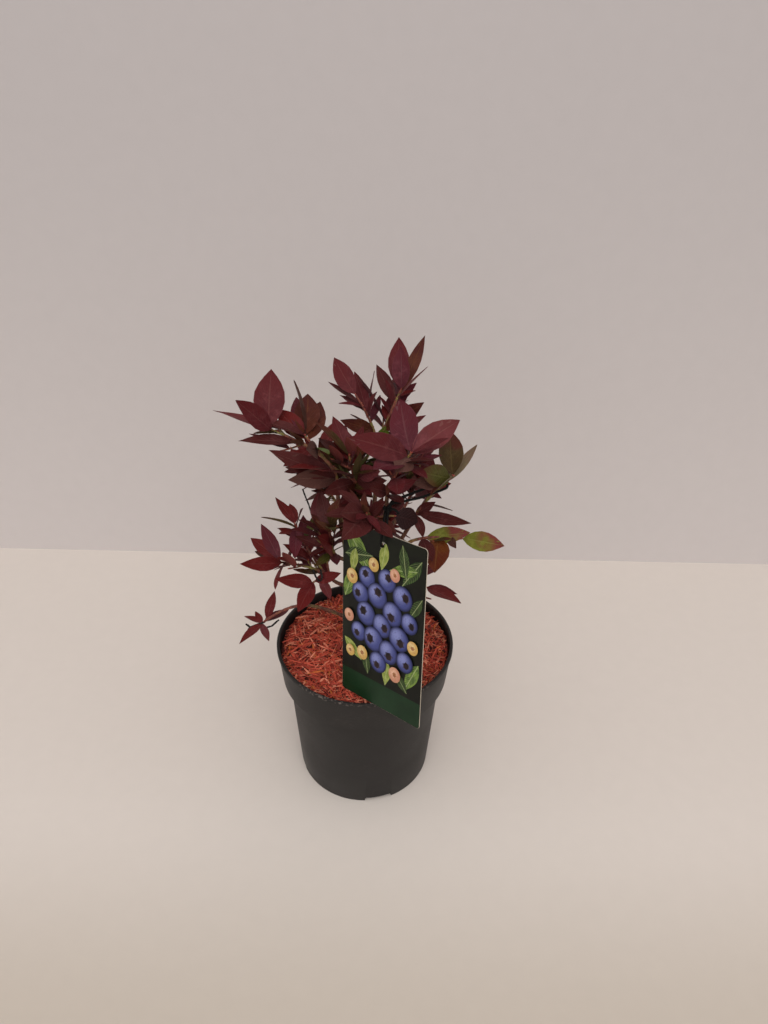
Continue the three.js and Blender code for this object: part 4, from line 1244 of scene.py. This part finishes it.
def barkGroup():
    # streaks and small cracks along the wood
    inputs = {"Vector": "Vector", "Light": "Color", "Dark": "Color", "Young": "Color"}
    tree, given, out = newGroup("bark grain", inputs, {"Colour": "Color", "Height": "Float"})
    streaks = grain(tree, given["Vector"], 480.0, 5.0, (1.0, 1.0, 0.22))
    patches = grain(tree, given["Vector"], 70.0)
    drawnOut = put(tree, "Mapping", {"Vector": given["Vector"], "Scale": (1.0, 1.0, 0.3)}).outputs[0]
    cracks = put(tree, "TexVoronoi", {"Vector": drawnOut, "Scale": 620.0}, feature="DISTANCE_TO_EDGE")
    split = stepped(tree, cracks.outputs["Distance"], 0.12, 0.02)
    colour = blended(tree, stepped(tree, streaks, 0.35, 0.65), given["Dark"], given["Light"])
    colour = blended(tree, stepped(tree, patches, 0.48, 0.66), colour, given["Young"])
    colour = blended(tree, times(tree, split, 0.6), colour, given["Dark"])
    tree.links.new(colour, out["Colour"])
    tree.links.new(minus(tree, streaks, times(tree, split, 0.6)), out["Height"])
    return tree


barkGrain = barkGroup()


def barkMaterial(name, light, dark, young, depth, roughness=0.75):
    material, tree, shader = newMaterial(name, roughness)
    values = dict(zip(("Light", "Dark", "Young"), [tone(code) for code in (light, dark, young)]))
    values["Vector"] = places(tree)["Object"]
    made = put(tree, "Group", values, node_tree=barkGrain).outputs
    finish(tree, shader, made["Colour"], made["Height"], depth)
    return material


oldBark = barkMaterial("old bark", "8a6a52", "4a3226", "6f4d38", 0.0007)
caneBark = barkMaterial("cane bark", "7e5340", "4f2c22", "7a6a3e", 0.0004)
tubes = {}  # templates by steps and sides


def bentTube(limb, sides, step, radiusAt, back=0.0):
    # a tube along a limb, whose first ring may stand back from the limb's start
    steps = max(4, round(limb.length / step))
    if (steps, sides) not in tubes:
        tubes[steps, sides] = tubeTemplate(steps, sides)
    template, rings = tubes[steps, sides], limb.rings(steps)
    points = []
    for p in template["points"]:
        i = round(p.z * steps)
        middle, along, side, across = rings[i]
        radius = radiusAt(i / steps, math.atan2(p.y, p.x))
        start = along * -back if i == 0 else Vector()
        points.append(middle + start + radius * (p.x * side + p.y * across))
    return template, points


def woodRadius(limb, seed, lobes):
    # rough bark, with a bud scar every so often and, on the trunk, a ribbed flare
    def radiusAt(t, angle):
        reach = t * limb.length
        spot = Vector((1.3 * math.cos(angle), 1.3 * math.sin(angle), 0.16 * reach + seed))
        rough = noise.noise(spot * 1.7) + 0.5 * noise.noise(spot * 5)
        radius = limb.radius(t) * (1 + barkLook["relief"] * rough)
        scar = round(reach / barkLook["scarSpacing"])
        away = (reach - scar * barkLook["scarSpacing"]) / barkLook["scarLength"]
        facing = max(0, math.cos(angle - math.radians(growth["turn"]) * scar))
        radius += barkLook["scar"] * math.exp(-away * away) * facing ** 3
        return radius * (1 + lobes * math.exp(-reach / trunk["fade"]) * math.cos(3 * angle + seed))
    return radiusAt


def addBark(name, limb, node, seed, bark, sides, step, lobes):
    copies = Copies()
    copies.add(*bentTube(limb, sides, step, woodRadius(limb, seed, lobes)))
    addPiece("bark_" + name, copies.mesh("bark"), [bark], [node], 60)


def buildBark():
    stem, *boughs = plant.limbs.items()
    addBark(*stem, "trunk", 0, oldBark, barkLook["trunkSides"], barkLook["trunkStep"], barkLook["lobes"])
    for i, (name, limb) in enumerate(boughs):
        addBark(name, limb, "bough_" + name, i + 1, caneBark, barkLook["sides"], barkLook["step"], 0)


buildBark()
print("bark")


# Twigs, buds and leaves

leafTints = dict(  # blade, midrib, underside, tip
    burgundy=("5c2327", "7c4845", "68423f", "581c20"),
    crimson=("6a2222", "8a4844", "723a36", "641c1b"),
    purple=("5c262f", "7a5052", "664044", "581f28"),
    mauve=("603e38", "7c5a52", "684c46", "5a3a34"),
    maroon=("522424", "704642", "5c3835", "4e1f1e"),
    rose=("6e3438", "8c5854", "784846", "682e30"),
    bronze=("56281a", "7c4c2c", "664230", "4a1e1a"),
    brown=("462a22", "6a4c40", "563e34", "4a2c24"),
    olive=("46351b", "6c5a34", "5c5032", "54281e"),
    moss=("4a471e", "6a6836", "5a5a34", "50381e"),
    greyGreen=("6c6046", "8a7e60", "786c54", "6a5444"),
    turning=("6c6e22", "8c8a48", "747638", "743430"),
    orange=("6e3a1a", "946434", "7c5834", "602a18"),
    fresh=("4c601a", "7c8640", "667034", "56621c"),
    # a tint for leaves in shadow, coloured very dark as painted shade
    dusk=("2a1416", "462a2a", "382222", "281214"),
)
leafLook = dict(
    rows=(0, 0.05, 0.15, 0.28, 0.43, 0.59, 0.74, 0.87, 0.96, 1), columns=4,
    widths=(0.8, 1.05), droops=(0.0, 0.12), folds=(0.08, 0.32), bend=0.08, twist=16, ripple=0.008,
    thickness=0.3, ribDepth=0.45, stalkDepth=0.9, stalkReach=0.12, stalkHalf=0.6,
)


def leafGroup():
    # veins, margins and blotches by the leaf's own map: along it and across it,
    # with the underside one further up
    inputs = {"Map": "Vector", "Place": "Vector"}
    inputs.update({name: "Color" for name in ("Blade", "Rib", "Under", "Tip")})
    outputs = {"Colour": "Color", "Height": "Float", "Roughness": "Float"}
    tree, given, out = newGroup("leaf skin", inputs, outputs)
    place, blade = given["Place"], given["Blade"]
    spots = put(tree, "SeparateXYZ", {"Vector": given["Map"]}).outputs
    under = stepped(tree, spots["Y"], 0.995, 1.005)
    off = maths(tree, "ABSOLUTE", minus(tree, minus(tree, spots["Y"], under), 0.5))
    wander = times(tree, grain(tree, place, 260.0), 0.5)
    slant = plus(tree, minus(tree, spots["X"], times(tree, off, 0.62)), times(tree, wander, 0.12))
    waves = maths(tree, "SINE", times(tree, slant, 50.0))
    veins = times(tree, stepped(tree, waves, 0.72, 1.0), stepped(tree, off, 0.46, 0.3))
    rib = stepped(tree, off, 0.045, 0.015)

    fine = grain(tree, place, 900.0)
    patches = stepped(tree, grain(tree, place, 55.0, 4.0), 0.38, 0.64)
    blotches = stepped(tree, grain(tree, place, 150.0, 5.0), 0.48, 0.68)
    mottles = stepped(tree, grain(tree, place, 430.0, 5.0), 0.46, 0.66)
    specks = stepped(tree, fine, 0.6, 0.72)
    darker, lighter = shifted(tree, blade, 0.72, hue=0.497), shifted(tree, blade, 1.42, 0.92)
    colour = blended(tree, times(tree, patches, 0.75), blade, darker)
    colour = blended(tree, times(tree, blotches, 0.6), colour, lighter)
    colour = blended(tree, times(tree, mottles, 0.65), colour, darker)
    colour = blended(tree, times(tree, specks, 0.4), colour, lighter)

    reach = plus(tree, spots["X"], times(tree, minus(tree, patches, 0.5), 0.3))
    colour = blended(tree, stepped(tree, reach, 0.36, 0.72), colour, given["Tip"])
    # the margins are made paler: partly the leaf's own paler edge, partly a painted highlight along the rim
    edge = times(tree, stepped(tree, off, 0.44, 0.5), 0.6)
    colour = blended(tree, edge, colour, shifted(tree, colour, 1.25, 0.9))
    colour = blended(tree, times(tree, veins, 0.07), colour, given["Rib"])
    colour = blended(tree, times(tree, rib, 0.3), colour, given["Rib"])
    colour = blended(tree, times(tree, under, 0.8), colour, given["Under"])
    tree.links.new(colour, out["Colour"])

    # the veins are raised on the underside and sunk on the face
    relief = plus(tree, times(tree, veins, 0.6), rib)
    raised = times(tree, relief, minus(tree, times(tree, under, 2.0), 1.0))
    tree.links.new(plus(tree, raised, times(tree, fine, 0.5)), out["Height"])
    tree.links.new(plus(tree, 0.46, times(tree, plus(tree, patches, under), 0.12)), out["Roughness"])
    return tree


leafSkin = leafGroup()


def leafMaterial(name):
    material, tree, shader = newMaterial(name + " leaf", 0.5, 0.15)
    place = places(tree)
    values = dict(zip(("Blade", "Rib", "Under", "Tip"), [tone(code) for code in leafTints[name]]))
    values.update({"Map": place["UV"], "Place": place["Object"]})
    made = put(tree, "Group", values, node_tree=leafSkin).outputs
    finish(tree, shader, made["Colour"], made["Height"], 0.00025, made["Roughness"])
    return material


leafMaterials = {name: leafMaterial(name) for name in leafTints}


def leafTemplate():
    # x is the share of the length, y runs across from -1 to 1, and z is -1 along the underside's middle
    rows = leafLook["rows"]
    bm = bmesh.new()
    layer = bm.loops.layers.uv.verify()
    for under, columns in enumerate((leafLook["columns"], 2)):
        sheet = bmesh.ops.create_grid(bm, x_segments=len(rows) - 1, y_segments=columns, size=1)["verts"]
        faces = list(dict.fromkeys(face for v in sheet for face in v.link_faces))
        if under:
            bmesh.ops.reverse_faces(bm, faces=faces)
        for v in sheet:
            v.co.x = rows[round((v.co.x + 1) / 2 * (len(rows) - 1))]
            v.co.z = -under if abs(v.co.y) < 0.1 else 0
        for face in faces:
            for corner in face.loops:
                spot = corner.vert.co
                corner[layer].uv = (spot.x, (spot.y * 0.98 + 1) / 2 + under)
    for v in bm.verts:
        if v.co.x < 0.001 or v.co.x > 0.999:
            v.co.y = v.co.z = 0
    bmesh.ops.remove_doubles(bm, verts=bm.verts, dist=1e-4)
    return templateOf(bm)


def bladeWidth(u):
    # half the width at a place along the leaf, drawn out to a sharper point than the solid's
    x = max(0, u - 0.05) / 0.95
    return max(0, math.sin(math.pi * x ** 0.87)) ** (0.76 + 0.2 * x)


def leafPoints(template, leaf, looks):
    length = leaf.length
    drawn = leafShape["width"] * mix(*leafLook["widths"], looks.random())
    width = leaf.width or drawn
    droop = mix(*leafLook["droops"], looks.random())
    fold = mix(*leafLook["folds"], looks.random())
    bend = leafLook["bend"] * (looks.random() - 0.5) * 2
    twist = math.radians(leafLook["twist"]) * (looks.random() - 0.5) * 2
    phase = looks.random() * math.tau
    points = []
    for u, v, below in template["points"]:
        half = max(leafLook["stalkHalf"], 0.5 * width * length * bladeWidth(u))
        turn = Quaternion(leaf.direction, twist * u)
        side, up = turn @ -leaf.side, turn @ leaf.face
        wave = leafLook["ripple"] * length * math.sin(7 * u + phase + 1.5 * v) * v * v
        stalk = leafLook["stalkDepth"] * max(0, 1 - u / leafLook["stalkReach"])
        rib = leafLook["ribDepth"] * (abs(v) < 0.1) * (1 - u)
        raised = fold * half * abs(v) + wave + (leafLook["thickness"] + stalk + rib) * below
        points.append(leaf.rib(u, droop) + side * (half * v + bend * length * u * u) + up * raised)
    return points


def budTemplate():
    # a small pointed bud along z, from 0 to 1
    bm = bmesh.new()
    bmesh.ops.create_icosphere(bm, subdivisions=1, radius=0.5)
    for v in bm.verts:
        v.co.z += 0.5
        taper = 1 - 0.55 * max(0, v.co.z - 0.3)
        v.co.x, v.co.y = v.co.x * taper, v.co.y * taper
    mapFaces(bm, lambda spot: (spot.x + 0.5, spot.z))
    return templateOf(bm)


# A bud is [width, depth, length]. Buds stand at most twig tips, and at the root of every leaf that is longer
# than `budFrom`.
twigLook = dict(
    sides=8, step=3.5, long=20, swell=0.35, swellLength=1.4, tipShare=0.7,
    tipBuds=0.8, tipBud=(1.32, 1.56, 2.6), tipSunk=0.78,
    budFrom=20, leafBud=(1.1, 1.3, 2.08), leafBudOff=0.5, leafBudLean=0.8, sprayLeaves=3,
)
deadLook = dict(sides=6, step=2, taper=0.85, crook=0.35, crookFineness=0.6)
noise.seed_set(1)  # else the crooks would differ from run to run
# Short dead twigs, black and dry: the mass they belong to, and their points.
deadTwigs = [
    ("left_foot", [(-93, -14, 190), (-101, -15.5, 187), (-107, -16, 185), (-110.4, -16, 188.6)], 1.05),
    ("left_foot", [(-107, -16, 185), (-108.9, -16, 181.5)], 0.9),
    ("left_foot", [(-92, -13, 182), (-87, -12, 183.4), (-80.8, -8, 187.6)], 0.9),
    ("left_low", [(-36, -8, 236), (-41.3, -14, 240), (-43.5, -19, 249), (-45.4, -20, 256.9)], 0.95),
    ("left_low", [(-40, -13, 238), (-38, -16, 246), (-39.5, -12, 251)], 0.9),
    ("left_high", [(-48, 14, 290), (-51, 17, 301), (-54.5, 19, 310), (-56.1, 20, 315.3)], 0.8),
]
youngBark = barkMaterial("young twig", "8c4a38", "5c2a24", "86803e", 0.0002, 0.55)
deadBark = barkMaterial("dead twig", "2a2422", "100d0c", "1c1716", 0.0003, 0.8)
budSkin = plainMaterial("red bud", "8c2f30", "a8553c", 300.0, 1500.0, 0.0001, 0.45)


def twigRadius(limb, swellings):
    # slightly swollen where a leaf or spur stands, and drawn in at the end
    def radiusAt(t, angle):
        radius = limb.radius(t)
        for place in swellings:
            away = (t - place) * limb.length / twigLook["swellLength"]
            radius += twigLook["swell"] * math.exp(-away * away)
        return radius * (twigLook["tipShare"] if swellings and t > 0.999 else 1)
    return radiusAt


def buildDeadTwigs(copies, name):
    for mass, route, radius in deadTwigs:
        if mass != name:
            continue
        for start, end in zip(route, route[1:]):
            start, end = Vector(start), Vector(end)
            limb = Limb(start, end, (start + end) / 2, (radius, radius * deadLook["taper"]))
            template, points = bentTube(limb, deadLook["sides"], deadLook["step"], twigRadius(limb, []))
            crooks = [noise.noise_vector(p * deadLook["crookFineness"]) for p in points]
            copies.add(template, [p + deadLook["crook"] * crook for p, crook in zip(points, crooks)], 2)


def addBud(wood, bud, place, direction, size):
    turn = upright.rotation_difference(direction).to_matrix()
    wood.add(bud, [place + turn @ Vector(a * b for a, b in zip(p, size)) for p in bud["points"]], 1)


def buildMass(group, leafCut, bud):
    name, mass = group.mass["name"], group.mass
    looks = random.Random(name)
    wood, foliage = Copies(), Copies()
    for i, (limb, _) in enumerate(group.twigs):
        swellings = [0.2 + 0.16 * j for j in range(6)] if limb.length > twigLook["long"] else [1]
        back = barkLook["overlap"] if i == 0 else 0
        wood.add(*bentTube(limb, twigLook["sides"], twigLook["step"], twigRadius(limb, swellings), back), 0)
        if looks.random() < twigLook["tipBuds"]:
            way = limb.direction(1)
            addBud(wood, bud, limb.at(1) - way * twigLook["tipSunk"], way, twigLook["tipBud"])
    used = list(dict.fromkeys([*mass["tints"], *[leaf.tint for leaf in group.leaves if leaf.tint]]))
    spray = looks.choice(mass["tints"])
    for i, leaf in enumerate(group.leaves):
        if i % twigLook["sprayLeaves"] == 0:
            spray = looks.choice(mass["tints"])
        foliage.add(leafCut, leafPoints(leafCut, leaf, looks), used.index(leaf.tint or spray))
        if leaf.length > twigLook["budFrom"]:
            way = (leaf.direction + leaf.face * twigLook["leafBudLean"]).normalized()
            addBud(wood, bud, leaf.root + leaf.face * twigLook["leafBudOff"], way, twigLook["leafBud"])
    buildDeadTwigs(wood, name)
    node = "leaves_" + name
    addPiece("twigs_" + name, wood.mesh("twigs"), [youngBark, budSkin, deadBark], [node], 60)
    tints = [leafMaterials[tint] for tint in used]
    addPiece("foliage_" + name, foliage.mesh("foliage"), tints, [node], 75)


def buildFoliage():
    leafCut, bud = leafTemplate(), budTemplate()
    for group in plant.groups:
        buildMass(group, leafCut, bud)


buildFoliage()
print("foliage")


# Tie

tie = dict(
    radius=1.08, tailRadius=0.972,
    knot=2.5, knotTurns=(0.62, 0.55, 0.75), knotPoints=16, middle=(18.4, -42.5, 336.8),
    tails=[[(0, -1, 0), (3, -3.2, 2.4), (6.4, -4, 2), (9, -5, -0.6)],
           [(0, -1, 0), (-2, -3.6, 2), (-3.4, -5.4, 5.5)]],
    route=[
        (16.1, -57.4, 311.6), (14, -59.6, 313.5), (13.9, -58.8, 319), (15, -55.8, 325), (16, -49, 332),
        (19, -40, 338), (32, -32.5, 338.5), (46, -26, 338.5), (58, -18, 338.8), (63.8, -15.4, 339.8),
        (67.4, -12.4, 340.6), (66.2, -8.6, 341.6), (61, -9, 342.2), (48, -19, 342.2), (32, -30.5, 342),
        (21.5, -38, 341), (18.6, -46, 334), (18.2, -51.5, 326), (18.4, -53.6, 319), (18.2, -54.9, 313.5),
    ],
)


def cordMesh(routes, radius, cyclic):
    curve = bpy.data.curves.new("cord", "CURVE")
    curve.dimensions, curve.bevel_depth, curve.bevel_resolution = "3D", radius * mm, 3
    curve.resolution_u, curve.use_fill_caps = 8, True
    for route in routes:
        spline = curve.splines.new("BEZIER")
        spline.bezier_points.add(len(route) - 1)
        for point, spot in zip(spline.bezier_points, route):
            point.co = Vector(spot) * mm
            point.handle_left_type = point.handle_right_type = "AUTO"
        spline.use_cyclic_u = cyclic
    return shapeOf(inScene("cord", curve))


def knotRoute(middle):
    # a loose overhand knot
    once, twice, deep = [share * tie["knot"] for share in tie["knotTurns"]]
    made = []
    for i in range(tie["knotPoints"]):
        a = math.tau * i / tie["knotPoints"]
        made.append(middle + Vector((once * math.sin(a) + twice * math.sin(2 * a),
                                     once * math.cos(a) - twice * math.cos(2 * a), -deep * math.sin(3 * a))))
    return made


def buildTie():
    black = plainMaterial("black cord", "060505", "0d0b0a", 900.0, 3200.0, 0.0001, 0.75, 0.2)
    middle = Vector(tie["middle"])
    tails = [[middle + Vector(p) for p in route] for route in tie["tails"]]
    for name, mesh in (("tie_loop", cordMesh([tie["route"]], tie["radius"], True)),
                       ("tie_knot", cordMesh([knotRoute(middle)], tie["radius"], True)),
                       ("tie_tails", cordMesh(tails, tie["tailRadius"], False))):
        addPiece(name, mesh, [black], ["label_tie"], 60)


buildTie()
print("tie")


# Stage, light and camera

# These sizes are in metres.
stage = dict(wall=0.346, width=7.0, depth=5.0, tall=4.0)
light = dict(
    place=(0, -1.3, 1.9), aim=(0, 0, 0.1), size=(1.6, 0.9), watts=12.6, colour=(1.0, 0.97, 0.92),
    room=(1.0, 0.975, 0.95, 1), roomStrength=0.84,
)
camera = dict(place=(0.0157, -0.554, 0.673), pitch=33.51, roll=1.22, lens=27.07, sensor=36)


def stageSheet(name, points, axis, span, tones):
    # colour that goes softly from one tone to the other over a span along one axis; on the floor and the
    # backdrop the change is painted shade
    bm = bmesh.new()
    bm.faces.new([bm.verts.new(p) for p in points])
    sheet = inScene(name, meshOf(bm, name, 1))
    material, tree, shader = newMaterial(name + " paint", 0.6)
    place = places(tree)["Object"]
    share = stepped(tree, axisOf(tree, place, axis), *span)
    speckle = scaled(tree, grain(tree, place, 60.0), 0.98, 1.02)
    colour = shifted(tree, blended(tree, share, *[tone(code) for code in tones]), speckle)
    finish(tree, shader, colour, grain(tree, place, 60.0), 0.0002)
    sheet.data.materials.append(material)
    return material


def buildStage():
    half, wall = stage["width"] / 2, stage["wall"]
    front, back = -stage["depth"], wall + stage["depth"]
    # the floor is painted darker towards the front, a painted shade
    stageSheet("floor", [(-half, front, 0), (half, front, 0), (half, back, 0), (-half, back, 0)],
               "Y", (-0.3, -0.08), ("ccc1b5", "e4dbd4"))
    # the backdrop is painted darker towards the top, a painted shade
    paintAndShade = stageSheet("backdrop", [(-half, wall, 0), (half, wall, 0), (half, wall, stage["tall"]),
                                    (-half, wall, stage["tall"])], "Z", (-0.1, 0.76), ("d4cdcc", "bdb7b8"))
    tree = paintAndShade.node_tree  # seen only from the front
    shader, output = tree.nodes["Principled BSDF"], tree.nodes["Material Output"]
    sides = put(tree, "MixShader", {0: put(tree, "NewGeometry").outputs["Backfacing"], 1: shader.outputs[0],
                                    2: put(tree, "BsdfTransparent").outputs[0]})
    tree.links.new(sides.outputs[0], output.inputs["Surface"])


def buildLight():
    lamp = bpy.data.lights.new("ceiling", "AREA")
    lamp.shape, lamp.energy, lamp.color = "RECTANGLE", light["watts"], light["colour"]
    lamp.size, lamp.size_y = light["size"]
    thing = inScene("ceiling", lamp)
    thing.location = light["place"]
    thing.rotation_euler = (Vector(light["aim"]) - thing.location).to_track_quat("-Z", "Y").to_euler()
    world = bpy.data.worlds.new("room")
    world.use_nodes = True
    sky = world.node_tree.nodes["Background"].inputs
    sky["Color"].default_value, sky["Strength"].default_value = light["room"], light["roomStrength"]
    bpy.context.scene.world = world


def buildCamera():
    lens = bpy.data.cameras.new("view")
    lens.lens, lens.sensor_width = camera["lens"], camera["sensor"]
    thing = inScene("view", lens)
    down, roll = math.radians(camera["pitch"]), math.radians(camera["roll"])
    ahead, above = Vector((0, math.cos(down), -math.sin(down))), Vector((0, math.sin(down), math.cos(down)))
    right = Vector((math.cos(roll), 0, 0)) + math.sin(roll) * above
    over = math.cos(roll) * above - Vector((math.sin(roll), 0, 0))
    turn = Matrix((right, over, -ahead)).transposed().to_4x4()
    thing.matrix_world = Matrix.Translation(camera["place"]) @ turn
    bpy.context.scene.camera = thing


buildStage()
buildLight()
buildCamera()
bpy.context.scene.view_settings.view_transform = "Standard"
print("stage")
